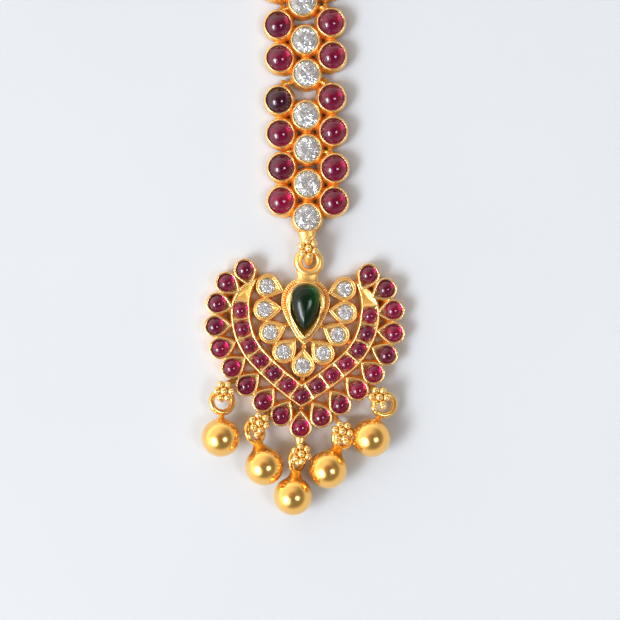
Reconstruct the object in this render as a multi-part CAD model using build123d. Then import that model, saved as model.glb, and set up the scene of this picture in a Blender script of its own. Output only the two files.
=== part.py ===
from build123d import *
import math
import os
from dataclasses import dataclass

# A maang tikka: a jewelled strand with a heart-shaped openwork pendant and five gold balls.
# It lies face up. X runs across the jewel, Y along the strand away from the balls, Z up.
# The origin is on the flat back of the pendant, under the round end of the green stone.
# Lengths are millimetres and angles are degrees.

# ------------------------------------------------------------------ driving dimensions

# Heights above the flat back
SEAT_FLOOR = 1.0
RIM_HEIGHT = 2.4
CELL_FLOOR = 1.75
STONE_GAP = 0.05

# Rows of the pendant, measured along the line through the stones' centres
OUTER_ROW_START = -20.4
OUTER_ROW_HEADING = 26.0
OUTER_PITCH = 3.67
OUTER_COUNT = 9
CHANNEL_START = -15.4
CHANNEL_HEADING = 34.0
CHANNEL_PITCH = 2.94
CHANNEL_COUNT = 6
WHITE_ROW_START = -10.5
WHITE_ROW_HEADING = 23.0
WHITE_PITCH = 3.8
WHITE_COUNT = 4

# Drop-shaped collets of the pendant
OUTER_RUBY_RADIUS = 1.42
OUTER_COLLET_RADIUS = 1.72
OUTER_COLLET_TIP = 2.55
OUTER_COLLET_FLANK = 8.0
WHITE_STONE_RADIUS = 1.2
WHITE_COLLET_RADIUS = 1.8
WHITE_COLLET_TIP = 2.55
WHITE_COLLET_FLANK = 8.0
COLLET_WALL = 0.3
CABOCHON_TOP = 3.1
BRILLIANT_TOP = 2.7
GIRDLE_HEIGHT = 2.1
GIRDLE_THICKNESS = 0.15
TABLE_SHARE = 0.56
CULET_SHARE = 0.6

# Bars of the openwork's base, from each stone's centre
WEB_WIDTH = 0.7
WEB_OUTER_REACH = 3.1
WEB_INNER_REACH = 3.4
WEB_OUTWARD_REACH = 2.9

# Heart-shaped channel
CHANNEL_RUBY_RADIUS = 1.12
CHANNEL_HALF_WIDTH = 1.38
CHANNEL_WALL = 0.38
CROSS_WALL = 0.35
HORN_TIP = (8.2, 2.85)
HORN_BELLY = (9.05, 0.35)
HORN_AIM = 136.0
HORN_TIP_ANGLE = 53.0

# Green pear stone and its collet
EMERALD_CENTRE_Y = 0.26
EMERALD_RADIUS = 2.3
EMERALD_TIP = 5.32
EMERALD_FLANK = 7.3
EMERALD_GIRDLE = 3.1
EMERALD_HEIGHT = 4.8
EMERALD_DOME_ANGLES = (0, 20, 40, 58, 74)
PEAR_COLLET_CENTRE_Y = -0.24
PEAR_COLLET_RADIUS = 3.87
PEAR_COLLET_TIP = 6.98
PEAR_COLLET_FLANK = 16.0
PEAR_LEDGE_HEIGHT = 1.9
PEAR_LEDGE_WIDTH = 0.62
PEAR_RIM_HEIGHT = 3.4
PEAR_RIM_WIDTH = 0.22
MILGRAIN_HEIGHT = 2.15
MILGRAIN_WIDTH = 0.3

# Bail
BAIL_CENTRE = (0.25, 6.15)
BAIL_RING_RADIUS = 1.72
BAIL_WIRE_RADIUS = 0.69
BAIL_HEIGHT = 2.0
BAIL_NECK_FOOT = 3.3
BAIL_NECK_TOP = 2.6
BAIL_NECK_LOW = 1.45
BAIL_NECK_THICKNESS = 0.95

# Granule rosettes
GRANULE_RADIUS = 0.55
GRANULE_CIRCLE = 1.14
GRANULE_COUNT = 6
CENTRE_GRANULE_LIFT = 0.3
ROSETTE_PLATE_RADIUS = 0.95
ROSETTE_PLATE_THICKNESS = 0.45

# Drops
BALL_RADIUS = 3.08
RING_RADIUS = 1.68
RING_WIRE_RADIUS = 0.5
BALL_TO_RING = 5.75
NECK_RADIUS = 0.62
LOOP_RADIUS = 1.2
LOOP_WIRE_RADIUS = 0.4
CROSSING_STEPS = 360
ARM_WIDTH = 1.1
ARM_LOW = 1.1
ARM_HIGH = 2.1
POST_SINK = 0.2
POINT_NECK_Y = (-21.95, -23.2)
POINT_NECK_WIDTHS = (2.2, 1.2)
POINT_NECK_LOW = 0.5

# Strand links
LINK_STONE_RADIUS = 2.0
LINK_BEZEL_RADIUS = 2.43
LINK_SEAT_FLOOR = 1.2
LINK_RIM_HEIGHT = 2.5
LINK_COLUMN = 4.25
LINK_RUBY_ROWS = (4.02, -1.34)
LINK_WHITE_ROWS = (1.4, -4.0)
LINK_WEB_WIDTH = 1.3
LINK_WEB_HEIGHT = 1.0
LINK_CABOCHON_TOP = 3.6
LINK_BRILLIANT_TOP = 2.95
LINK_GIRDLE_HEIGHT = 2.3
LINK_COUNT = 9
HIDDEN_LINK_STEP = (-0.78, 11.5)
HIDDEN_LINK_LEAN = 3.8

# Small rings between the links, and the lugs that they pass through
LINK_RING_PLACE = (3.0, 6.6)
LINK_RING_RADIUS = 0.55
LINK_RING_WIRE = 0.21
LINK_RING_HEIGHT = 0.86
LUG_WIDTH = 1.06
LUG_LOW = 0.56
LUG_HIGH = 1.16
BORE_CLEARANCE = 0.08
LUG_HALF_GAP = 0.06
LUG_CUT = 6.0

# Neck, rosette and loop that carry the pendant
PENDANT_LOOP_RADIUS = 1.4
PENDANT_LOOP_WIRE = 0.55
PENDANT_LOOP_SLACK = 0.04
PENDANT_ROSETTE = (0.1, 8.2)
PENDANT_ROSETTE_LOW = 3.6
PENDANT_ROSETTE_PHASE = 42.0
PENDANT_NECK_Y = (11.0, 9.2)
PENDANT_NECK_WIDTHS = (3.3, 2.4)
PENDANT_NECK_LOW = 0.9
PENDANT_NECK_HIGH = 2.4

# Hook at the far end of the strand
HOOK_RING_RADIUS = 1.6
HOOK_RING_WIRE = 0.35
HOOK_RING_Y = 7.3
HOOK_RING_HEIGHT = 2.0
HOOK_LUG_WIDTH = 1.7
HOOK_LUG_LOW = 1.1
HOOK_LUG_HIGH = 2.1
HOOK_EYE_SHIFT = 0.45
HOOK_WIRE_RADIUS = 0.55
HOOK_EYE_RADIUS = 1.35
HOOK_SHANK = 9.0
HOOK_BEND_RADIUS = 3.1
HOOK_RETURN = 5.5
HOOK_DROOP = 5.0


# ------------------------------------------------------------------ paths and outlines


def place(x, y, turn=0.0):
    """A location on the back plane, turned about Z."""
    return Location((x, y, 0), (0, 0, turn))


@dataclass
class Row:
    """A line of stones that leaves the pendant's axis and bends left through tangent arcs.

    arcs holds (radius, length) pairs, and the last arc has no end.
    """

    start_y: float
    heading: float
    arcs: list

    def at(self, length, outward=0.0):
        """Point and heading at a length along the row, moved outward from the heart."""
        x, y, heading = 0.0, self.start_y, math.radians(self.heading)
        left = length
        for index, (radius, arc_length) in enumerate(self.arcs):
            last = index == len(self.arcs) - 1
            step = left if last else min(left, arc_length)
            turned = heading + step / radius
            x += radius * (math.sin(turned) - math.sin(heading))
            y -= radius * (math.cos(turned) - math.cos(heading))
            heading = turned
            left -= step
            if left <= 0:
                break
        x += outward * math.sin(heading)
        y -= outward * math.cos(heading)
        return x, y, math.degrees(heading)

    def on_axis(self, outward):
        """Where the first arc, moved outward, meets the pendant's axis."""
        radius = self.arcs[0][0]
        heading = math.radians(self.heading)
        centre_x = -radius * math.sin(heading)
        centre_y = self.start_y + radius * math.cos(heading)
        return 0.0, centre_y - math.sqrt((radius + outward) ** 2 - centre_x ** 2)


OUTER_ROW = Row(OUTER_ROW_START, OUTER_ROW_HEADING, [(33.5, 15.9), (11.4, 12.6), (6.0, 0.0)])
CHANNEL_ROW = Row(CHANNEL_START, CHANNEL_HEADING, [(55.0, 8.8), (11.1, 8.84)])
WHITE_ROW = Row(WHITE_ROW_START, WHITE_ROW_HEADING, [(10.7, 0.0)])


@dataclass
class Pear:
    """A drop-shaped outline: a circle whose flanks bend in to a tip on +Y."""

    radius: float
    tip: float
    flank: float

    def flank_centre(self):
        """Centre of the right-hand flank's arc."""
        reach = self.flank - self.radius
        sine = 2 * self.flank * self.radius - self.radius ** 2 - self.tip ** 2
        sine /= 2 * self.tip * reach
        return -reach * math.sqrt(1 - sine * sine), -reach * sine

    def grown(self, amount):
        """The same outline moved outward by an amount, or inward if it is negative."""
        centre_x, centre_y = self.flank_centre()
        flank = self.flank + amount
        tip = centre_y + math.sqrt(flank ** 2 - centre_x ** 2)
        return Pear(self.radius + amount, tip, flank)

    def face(self, x=0.0, y=0.0, turn=0.0, z=0.0):
        """The outline as a face, with its tip turned from +Y."""
        centre_x, centre_y = self.flank_centre()
        reach = math.hypot(centre_x, centre_y)
        touch_x = -centre_x / reach * self.radius
        touch_y = -centre_y / reach * self.radius
        middle_x = (touch_x - 2 * centre_x) / 2
        middle_y = (touch_y - 2 * centre_y + self.tip) / 2
        scale = self.flank / math.hypot(middle_x, middle_y)
        middle = (centre_x + middle_x * scale, centre_y + middle_y * scale)
        edges = [
            ThreePointArc((touch_x, touch_y), middle, (0, self.tip)),
            ThreePointArc((0, self.tip), (-middle[0], middle[1]), (-touch_x, touch_y)),
            ThreePointArc((-touch_x, touch_y), (0, -self.radius), (touch_x, touch_y)),
        ]
        return Location((x, y, z), (0, 0, turn)) * make_face(edges)


def disc(x, y, radius, low, high):
    """An upright cylinder between two heights."""
    return Pos(x, y, low) * Cylinder(radius, high - low, align=(Align.CENTER, Align.CENTER, Align.MIN))


def bar(start, end, width, low, high):
    """A flat bar with round ends between two points of the plan."""
    run_x = end[0] - start[0]
    run_y = end[1] - start[1]
    length = math.hypot(run_x, run_y)
    turn = math.degrees(math.atan2(run_y, run_x))
    outline = Pos(length / 2, 0) * SlotCenterToCenter(length, width)
    return Pos(start[0], start[1], low) * Rot(0, 0, turn) * extrude(outline, high - low)


def cabochon(radius, floor, girdle, top):
    """A round stone with a flat base, an upright girdle and a domed top."""
    crown = top - girdle
    sphere = (radius ** 2 + crown ** 2) / (2 * crown)
    middle_angle = math.asin(radius / sphere) / 2
    middle = (sphere * math.sin(middle_angle), top - sphere + sphere * math.cos(middle_angle))
    profile = [
        Line((0, floor), (radius, floor)),
        Line((radius, floor), (radius, girdle)),
        ThreePointArc((radius, girdle), middle, (0, top)),
        Line((0, top), (0, floor)),
    ]
    return revolve(Plane.XZ * make_face(profile), Axis.Z)


def brilliant(radius, floor, girdle, top):
    """A round faceted stone, plain turned: short pavilion, girdle, crown and table."""
    profile = Polyline(
        (0, floor),
        (radius * CULET_SHARE, floor),
        (radius, girdle - GIRDLE_THICKNESS),
        (radius, girdle),
        (radius * TABLE_SHARE, top),
        (0, top),
        close=True,
    )
    return revolve(Plane.XZ * make_face(profile), Axis.Z)


def one_solid(shape):
    """The shape's only solid, as soldered metal must be a single piece."""
    solids = shape.solids()
    if len(solids) != 1:
        raise ValueError(f"{len(solids)} solids where one is needed: {[s.volume for s in solids]}")
    return solids[0]


def keep(name, shape):
    """Write one sub-part to its file."""
    export_step(shape, f"parts/{name}.step")
    print(name, round(shape.volume, 2))


def mirrored(places):
    """Places of one side followed by those of the other, each (x, y, turn, side)."""
    right = [(x, y, turn, 1) for x, y, turn in places]
    return right + [(-x, y, -turn, -1) for x, y, turn in places]


# ------------------------------------------------------------------ places of the stones


def outer_places():
    """Centres of the edge stones with the turn that points each collet's tip inward."""
    side = [OUTER_ROW.at(OUTER_PITCH * count) for count in range(1, OUTER_COUNT + 1)]
    return [(0.0, OUTER_ROW_START, 0.0, 1)] + mirrored(side)


def channel_places():
    """Centres of the channel stones with the row's heading."""
    side = [CHANNEL_ROW.at(CHANNEL_PITCH * count) for count in range(1, CHANNEL_COUNT + 1)]
    return [(0.0, CHANNEL_START, 0.0, 1)] + mirrored(side)


def white_places():
    """Centres of the brilliants with the turn that points each collet's tip inward."""
    side = [WHITE_ROW.at(WHITE_PITCH * count) for count in range(1, WHITE_COUNT + 1)]
    return [(0.0, WHITE_ROW_START, 0.0, 1)] + mirrored(side)


# ------------------------------------------------------------------ rosettes and drops


def rosette(x, y, plate_low, phase):
    """Seven granules soldered on a small round plate."""
    plate_high = plate_low + ROSETTE_PLATE_THICKNESS
    shape = disc(x, y, ROSETTE_PLATE_RADIUS, plate_low, plate_high)
    shape += Pos(x, y, plate_high + CENTRE_GRANULE_LIFT) * Sphere(GRANULE_RADIUS)
    for count in range(GRANULE_COUNT):
        angle = math.radians(phase + 360 * count / GRANULE_COUNT)
        granule_x = x + GRANULE_CIRCLE * math.cos(angle)
        granule_y = y + GRANULE_CIRCLE * math.sin(angle)
        shape += Pos(granule_x, granule_y, plate_high) * Sphere(GRANULE_RADIUS)
    return shape


@dataclass
class Drop:
    """One ball with its ring, and the rosette and loop that carry it."""

    name: str
    ball: tuple
    aim: float
    tilt: float
    ring_height: float
    rosette: tuple
    plate_low: float
    phase: float
    root: tuple

    def ball_centre(self):
        """Centre of the ball, which rests on the ground."""
        return Vector(*self.ball, BALL_RADIUS)

    def aim_direction(self):
        """Unit vector from the ring's centre to the ball's."""
        rise = math.asin((BALL_RADIUS - self.ring_height) / BALL_TO_RING)
        flat = math.cos(rise)
        angle = math.radians(self.aim)
        return Vector(flat * math.cos(angle), flat * math.sin(angle), math.sin(rise))

    def ring_plane(self):
        """Plane of the ring: X runs away from the ball, and Z is the ring's axis."""
        aim = self.aim_direction()
        level = Vector(0, 0, 1).cross(aim).normalized()
        tilt = math.radians(self.tilt)
        across = level * math.cos(tilt) - aim.cross(level) * math.sin(tilt)
        centre = self.ball_centre() - aim * BALL_TO_RING
        return Plane(centre, x_dir=aim * -1, z_dir=aim.cross(across))

    def crossing(self):
        """Point of the ring that lies nearest to the rosette in the plan, and the ring's run there."""
        plane = self.ring_plane()
        best = None
        for step in range(CROSSING_STEPS):
            angle = 2 * math.pi * step / CROSSING_STEPS
            outward = plane.x_dir * math.cos(angle) + plane.y_dir * math.sin(angle)
            point = plane.origin + outward * RING_RADIUS
            apart = math.hypot(point.X - self.rosette[0], point.Y - self.rosette[1])
            if best is None or apart < best[0]:
                run = plane.z_dir.cross(outward)
                best = (apart, point, Vector(run.X, run.Y, 0).normalized())
        return best[1], best[2]

    def build_drop(self):
        """The ring, neck and ball as one soldered piece."""
        plane = self.ring_plane()
        aim = self.aim_direction()
        ring = plane * Torus(RING_RADIUS, RING_WIRE_RADIUS)
        ball = Pos(*self.ball_centre()) * Sphere(BALL_RADIUS)
        length = BALL_TO_RING - RING_RADIUS - BALL_RADIUS / 2
        base = self.ball_centre() - aim * (BALL_RADIUS / 2)
        neck = Cylinder(NECK_RADIUS, length, align=(Align.CENTER, Align.CENTER, Align.MIN))
        return ring + Plane(base, z_dir=aim * -1) * neck + ball

    def build_carrier(self):
        """The loop that the ring passes through, its arm, its post and the rosette."""
        point, run = self.crossing()
        to_root = Vector(0, 0, 1).cross(run)
        if to_root.X * (self.root[0] - point.X) + to_root.Y * (self.root[1] - point.Y) < 0:
            to_root = to_root * -1
        end = point + to_root * LOOP_RADIUS
        shape = Plane(point, z_dir=run) * Torus(LOOP_RADIUS, LOOP_WIRE_RADIUS)
        shape += bar(self.root, (end.X, end.Y), ARM_WIDTH, ARM_LOW, ARM_HIGH)
        post_high = self.plate_low + POST_SINK
        shape += disc(point.X, point.Y, LOOP_WIRE_RADIUS, point.Z + LOOP_RADIUS, post_high)
        return shape + rosette(*self.rosette, self.plate_low, self.phase)


def edge_place(pitches, outward, side=1):
    """A point beside the edge row, counted in stone pitches from the bottom stone."""
    x, y, _ = OUTER_ROW.at(OUTER_PITCH * pitches, outward)
    return side * x, y


# columns: name, centre of the ball, direction of the ball from its ring, tilt and height of the
# ring, centre of the rosette, underside of its plate, turn of its granules, root of its arm
DROPS = [
    Drop("drop_1", (-12.64, -22.46), -89.0, 20.0, 2.3,
         edge_place(3.5, 3.3, -1), 3.3, 0.0, edge_place(3.5, 0.9, -1)),
    Drop("drop_2", (-5.53, -26.76), -71.8, 36.0, 2.6,
         edge_place(1.5, 3.3, -1), 3.4, 35.0, edge_place(1.5, 0.9, -1)),
    Drop("drop_3", (-0.77, -31.33), -93.9, 40.0, 2.5,
         (0.25, -24.45), 3.8, 40.0, (0.0, -22.55)),
    Drop("drop_4", (4.62, -26.86), -108.0, 20.0, 2.2,
         edge_place(1.5, 3.3), 3.4, 0.0, edge_place(1.5, 0.9)),
    Drop("drop_5", (11.35, -21.57), -109.0, 10.0, 2.0,
         edge_place(3.5, 3.3), 3.2, 10.0, edge_place(3.5, 0.9)),
]


# ------------------------------------------------------------------ pendant


def wall_line(outward, horn):
    """One side of the channel: two tangent arcs from the axis, then the horn's arc."""
    first, second = [length for _, length in CHANNEL_ROW.arcs]
    joint = CHANNEL_ROW.at(first, outward)[:2]
    end = CHANNEL_ROW.at(first + second, outward)[:2]
    return [
        ThreePointArc(CHANNEL_ROW.on_axis(outward), CHANNEL_ROW.at(first / 2, outward)[:2], joint),
        ThreePointArc(joint, CHANNEL_ROW.at(first + second / 2, outward)[:2], end),
        horn(end),
    ]


def channel_outline(grow):
    """Face of the heart-shaped channel, grown from the middle lines of its two walls."""
    heading = math.radians(CHANNEL_ROW.at(sum(length for _, length in CHANNEL_ROW.arcs))[2])
    reach = grow / math.sin(math.radians(HORN_TIP_ANGLE / 2))
    aim = math.radians(HORN_AIM)
    tip = (HORN_TIP[0] + reach * math.cos(aim), HORN_TIP[1] + reach * math.sin(aim))
    belly = (HORN_BELLY[0] - grow, HORN_BELLY[1])
    tangent = (math.cos(heading), math.sin(heading))
    half_width = CHANNEL_HALF_WIDTH + grow
    right = wall_line(half_width, lambda end: TangentArc(end, tip, tangent=tangent))
    right += wall_line(-half_width, lambda end: ThreePointArc(end, belly, tip))
    left = [mirror(edge, Plane.YZ) for edge in right]
    return make_face(right + left)


def build_channel():
    """The heart-shaped channel with its cells and the round seats of its stones."""
    body = extrude(channel_outline(CHANNEL_WALL / 2), RIM_HEIGHT)
    cells = Pos(0, 0, CELL_FLOOR) * extrude(channel_outline(-CHANNEL_WALL / 2), RIM_HEIGHT)
    for count in range(CHANNEL_COUNT + 1):
        x, y, heading = CHANNEL_ROW.at(CHANNEL_PITCH * (count + 0.5))
        for side in (1, -1):
            wall = Box(CROSS_WALL, 2 * CHANNEL_HALF_WIDTH, 2 * RIM_HEIGHT)
            cells -= place(side * x, y, side * heading) * wall
    body -= cells
    for x, y, _, _ in channel_places():
        body -= disc(x, y, CHANNEL_RUBY_RADIUS + STONE_GAP, SEAT_FLOOR, RIM_HEIGHT)
    return body


def build_collet(outline, stone_radius, x, y, turn):
    """A drop-shaped cup with a thin wall and a round seat for its stone."""
    cup = extrude(outline.face(x, y, turn), RIM_HEIGHT)
    recess = extrude(outline.grown(-COLLET_WALL).face(x, y, turn, CELL_FLOOR), RIM_HEIGHT)
    seat = disc(x, y, stone_radius + STONE_GAP, SEAT_FLOOR, RIM_HEIGHT + SEAT_FLOOR)
    return cup - recess - seat


def build_pear_collet():
    """The green stone's collet: a foot with a beaded border, then a sloping bezel."""
    foot = Pear(PEAR_COLLET_RADIUS, PEAR_COLLET_TIP, PEAR_COLLET_FLANK)
    seat = Pear(EMERALD_RADIUS, EMERALD_TIP, EMERALD_FLANK).grown(STONE_GAP)
    bezel_low = foot.grown(-PEAR_LEDGE_WIDTH)
    bezel_high = seat.grown(PEAR_RIM_WIDTH)
    body = extrude(foot.face(0, PEAR_COLLET_CENTRE_Y, 180), PEAR_LEDGE_HEIGHT)
    border = foot.face(0, PEAR_COLLET_CENTRE_Y, 180) - foot.grown(-MILGRAIN_WIDTH).face(
        0, PEAR_COLLET_CENTRE_Y, 180
    )
    body += extrude(border, MILGRAIN_HEIGHT)
    body += loft(
        [
            bezel_low.face(0, PEAR_COLLET_CENTRE_Y, 180, PEAR_LEDGE_HEIGHT - STONE_GAP),
            bezel_high.face(0, EMERALD_CENTRE_Y, 180, PEAR_RIM_HEIGHT),
        ],
        ruled=True,
    )
    return body - extrude(seat.face(0, EMERALD_CENTRE_Y, 180, SEAT_FLOOR), EMERALD_HEIGHT)


def build_bail():
    """The thick ring that the strand's loop passes through, and its neck."""
    x, y = BAIL_CENTRE
    ring = Pos(x, y, BAIL_HEIGHT) * Torus(BAIL_RING_RADIUS, BAIL_WIRE_RADIUS)
    neck_low = PEAR_COLLET_CENTRE_Y + PEAR_COLLET_RADIUS - PEAR_LEDGE_WIDTH / 2
    neck_high = y - BAIL_RING_RADIUS
    neck = Polyline(
        (-BAIL_NECK_FOOT / 2, neck_low),
        (BAIL_NECK_FOOT / 2, neck_low),
        (x + BAIL_NECK_TOP / 2, neck_high),
        (x - BAIL_NECK_TOP / 2, neck_high),
        close=True,
    )
    return ring + Pos(0, 0, BAIL_NECK_LOW) * extrude(make_face(neck), BAIL_NECK_THICKNESS)


def build_pendant_frame():
    """All the pendant's metal as one soldered solid."""
    outer = Pear(OUTER_COLLET_RADIUS, OUTER_COLLET_TIP, OUTER_COLLET_FLANK)
    white = Pear(WHITE_COLLET_RADIUS, WHITE_COLLET_TIP, WHITE_COLLET_FLANK)
    body = build_channel() + build_pear_collet() + build_bail()
    for x, y, turn, side in outer_places():
        body += build_collet(outer, OUTER_RUBY_RADIUS, x, y, turn)
    for x, y, turn, side in white_places():
        body += build_collet(white, WHITE_STONE_RADIUS, x, y, turn)
    for start, end in web_runs():
        body += bar(start, end, WEB_WIDTH, 0, SEAT_FLOOR)
    body += build_point_neck()
    for drop in DROPS:
        body += drop.build_carrier()
    return one_solid(body)


def web_runs():
    """Start and end of each bar of the base that ties the collets together."""
    runs = []
    outer = outer_places()
    white = white_places()
    for count, places in ((OUTER_COUNT, outer), (WHITE_COUNT, white)):
        for first in (1, count + 1):
            chain = [places[0]] + places[first:first + count]
            runs += [(a[:2], b[:2]) for a, b in zip(chain, chain[1:])]
    spokes = ((outer, WEB_OUTER_REACH), (white, WEB_INNER_REACH), (white, -WEB_OUTWARD_REACH))
    for places, reach in spokes:
        for x, y, turn, side in places:
            angle = math.radians(turn + 90)
            runs.append(((x, y), (x + reach * math.cos(angle), y + reach * math.sin(angle))))
    return runs


def build_point_neck():
    """The tapered neck under the bottom stone."""
    high_y, low_y = POINT_NECK_Y
    high_half, low_half = [width / 2 for width in POINT_NECK_WIDTHS]
    outline = Polyline(
        (-high_half, high_y),
        (high_half, high_y),
        (low_half, low_y),
        (-low_half, low_y),
        close=True,
    )
    return Pos(0, 0, POINT_NECK_LOW) * extrude(make_face(outline), ARM_HIGH - POINT_NECK_LOW)


def build_emerald():
    """The green stone: an upright girdle and a dome in a few steps."""
    outline = Pear(EMERALD_RADIUS, EMERALD_TIP, EMERALD_FLANK)
    rise = EMERALD_HEIGHT - EMERALD_GIRDLE
    sections = []
    for angle in EMERALD_DOME_ANGLES:
        inset = EMERALD_RADIUS * (1 - math.cos(math.radians(angle)))
        height = EMERALD_GIRDLE + rise * math.sin(math.radians(angle))
        sections.append(outline.grown(-inset).face(0, EMERALD_CENTRE_Y, 180, height))
    base = extrude(outline.face(0, EMERALD_CENTRE_Y, 180, SEAT_FLOOR), EMERALD_GIRDLE - SEAT_FLOOR)
    return one_solid(base + loft(sections, ruled=True))


def stones(places, make):
    """Copies of one stone at several places of the pendant."""
    return Compound([place(x, y, turn) * make for x, y, turn, side in places])


# ------------------------------------------------------------------ strand


@dataclass
class Link:
    """One link of the strand: its middle and its lean."""

    number: int
    x: float
    y: float
    lean: float

    def at(self, x, y):
        """A point of the link in the jewel's plan."""
        angle = math.radians(self.lean)
        return (
            self.x + x * math.cos(angle) - y * math.sin(angle),
            self.y + x * math.sin(angle) + y * math.cos(angle),
        )

    def rubies(self):
        """Centres of the four cabochons."""
        return [self.at(side * LINK_COLUMN, row) for row in LINK_RUBY_ROWS for side in (-1, 1)]

    def whites(self):
        """Centres of the two brilliants."""
        return [self.at(0, row) for row in LINK_WHITE_ROWS]

    def build_frame(self, lugs, bores):
        """Six bezels on a web of bars, with the given lugs added and bores cut."""
        rubies = self.rubies()
        whites = self.whites()
        seat = LINK_STONE_RADIUS + STONE_GAP
        runs = [(rubies[0], rubies[2]), (rubies[1], rubies[3]), (whites[0], whites[1])]
        runs += [(ruby, whites[0]) for ruby in rubies]
        runs += [(ruby, whites[1]) for ruby in rubies[2:]]
        body = None
        for start, end in runs:
            web = bar(start, end, LINK_WEB_WIDTH, 0, LINK_WEB_HEIGHT)
            body = web if body is None else body + web
        for x, y in rubies + whites:
            body += disc(x, y, LINK_BEZEL_RADIUS, 0, LINK_RIM_HEIGHT)
        for lug in lugs:
            body += lug
        for x, y in rubies + whites:
            body -= disc(x, y, seat, LINK_SEAT_FLOOR, 2 * LINK_RIM_HEIGHT)
        for bore in bores:
            body -= bore
        return body


def build_links():
    """Places of the links: the first four as they have come to lie, the rest in an even run."""
    links = [
        Link(1, -0.35, 17.19, 1.4),
        Link(2, -0.97, 28.19, 5.0),
        Link(3, -1.58, 40.24, 4.8),
        Link(4, -2.62, 51.7, 4.0),
    ]
    while len(links) < LINK_COUNT:
        last = links[-1]
        x = last.x + HIDDEN_LINK_STEP[0]
        y = last.y + HIDDEN_LINK_STEP[1]
        links.append(Link(last.number + 1, x, y, HIDDEN_LINK_LEAN))
    return links


@dataclass
class LinkRing:
    """A small upright ring that joins a lug of one link to a lug of the next."""

    lower: Link
    upper: Link
    side: int

    def frame(self):
        """Plane of the ring: X runs from the upper link's white stone, Y up."""
        x, y = self.lower.at(self.side * LINK_RING_PLACE[0], LINK_RING_PLACE[1])
        white_x, white_y = self.upper.at(0, LINK_WHITE_ROWS[1])
        run = Vector(x - white_x, y - white_y, 0).normalized()
        return Plane((x, y, LINK_RING_HEIGHT), x_dir=run, z_dir=run.cross(Vector(0, 0, 1)))

    def ring(self, clearance=0.0):
        """The ring, or the bore that clears it."""
        return self.frame() * Torus(LINK_RING_RADIUS, LINK_RING_WIRE + clearance)

    def lug(self, root, outward):
        """A flat lug from a bezel to the ring, which stops short of the other link's lug."""
        frame = self.frame()
        end = frame.origin + frame.x_dir * (LINK_RING_RADIUS * outward)
        tab = bar(root, (end.X, end.Y), LUG_WIDTH, LUG_LOW, LUG_HIGH)
        far = frame.origin - frame.x_dir * (outward * (LUG_CUT / 2 - LUG_HALF_GAP))
        cutter = Plane(far, x_dir=frame.x_dir, z_dir=frame.z_dir) * Box(LUG_CUT, LUG_CUT, LUG_CUT)
        return tab - cutter

    def lower_lug(self):
        """The lug on the lower link's upper ruby bezel."""
        return self.lug(self.lower.at(self.side * LINK_COLUMN, LINK_RUBY_ROWS[0]), 1)

    def upper_lug(self):
        """The lug on the upper link's lower white bezel."""
        return self.lug(self.upper.at(0, LINK_WHITE_ROWS[1]), -1)


def build_pendant_neck():
    """The tapered neck, loop and rosette that hang the pendant from the first link."""
    high_y, low_y = PENDANT_NECK_Y
    high_half, low_half = [width / 2 for width in PENDANT_NECK_WIDTHS]
    bail_x = BAIL_CENTRE[0]
    loop_y = BAIL_CENTRE[1] + BAIL_RING_RADIUS - PENDANT_LOOP_SLACK
    outline = Polyline(
        (-bail_x - high_half, high_y),
        (-bail_x + high_half, high_y),
        (bail_x + low_half, low_y),
        (bail_x - low_half, low_y),
        close=True,
    )
    neck = extrude(make_face(outline), PENDANT_NECK_HIGH - PENDANT_NECK_LOW)
    loop = Plane((bail_x, loop_y, BAIL_HEIGHT), z_dir=(1, 0, 0))
    shape = Pos(0, 0, PENDANT_NECK_LOW) * neck
    shape += loop * Torus(PENDANT_LOOP_RADIUS, PENDANT_LOOP_WIRE)
    return shape + rosette(*PENDANT_ROSETTE, PENDANT_ROSETTE_LOW, PENDANT_ROSETTE_PHASE)


# ------------------------------------------------------------------ hook


def hook_frame(link):
    """Plane at the top of the last link: X across it, Y along the strand."""
    x, y = link.at(0, HOOK_RING_Y)
    lean = math.radians(link.lean)
    return Plane((x, y, HOOK_RING_HEIGHT), x_dir=(math.cos(lean), math.sin(lean), 0))


def hook_ring(link, clearance=0.0):
    """The upright ring between the last link and the hook, or the bore that clears it."""
    frame = hook_frame(link)
    return Plane(frame.origin, z_dir=frame.x_dir) * Torus(HOOK_RING_RADIUS, HOOK_RING_WIRE + clearance)


def hook_lug(link):
    """The last link's lug, which the hook's ring passes through."""
    end = link.at(0, HOOK_RING_Y - HOOK_RING_RADIUS)
    return bar(link.at(0, LINK_WHITE_ROWS[0]), end, HOOK_LUG_WIDTH, HOOK_LUG_LOW, HOOK_LUG_HIGH)


def build_hook(link):
    """The wire hook: an eye, a straight shank, a half-round bend and a short return."""
    eye_y = HOOK_EYE_SHIFT + HOOK_EYE_RADIUS
    shank_low = eye_y + HOOK_EYE_RADIUS
    shank_high = shank_low + HOOK_SHANK
    bend = HOOK_BEND_RADIUS
    route = Line((0, shank_low), (0, shank_high))
    route += ThreePointArc((0, shank_high), (bend, shank_high + bend), (2 * bend, shank_high))
    route += Line((2 * bend, shank_high), (2 * bend, shank_high - HOOK_RETURN))
    wire = sweep(Plane((0, shank_low, 0), z_dir=(0, 1, 0)) * Circle(HOOK_WIRE_RADIUS), route)
    shape = Pos(0, eye_y, 0) * Torus(HOOK_EYE_RADIUS, HOOK_WIRE_RADIUS) + wire
    shape += Pos(2 * bend, shank_high - HOOK_RETURN, 0) * Sphere(HOOK_WIRE_RADIUS)
    droop = Pos(0, HOOK_EYE_SHIFT, 0) * Rot(-HOOK_DROOP, 0, 0) * Pos(0, -HOOK_EYE_SHIFT, 0)
    return one_solid(hook_frame(link) * droop * shape)


# ------------------------------------------------------------------ the whole jewel


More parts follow.
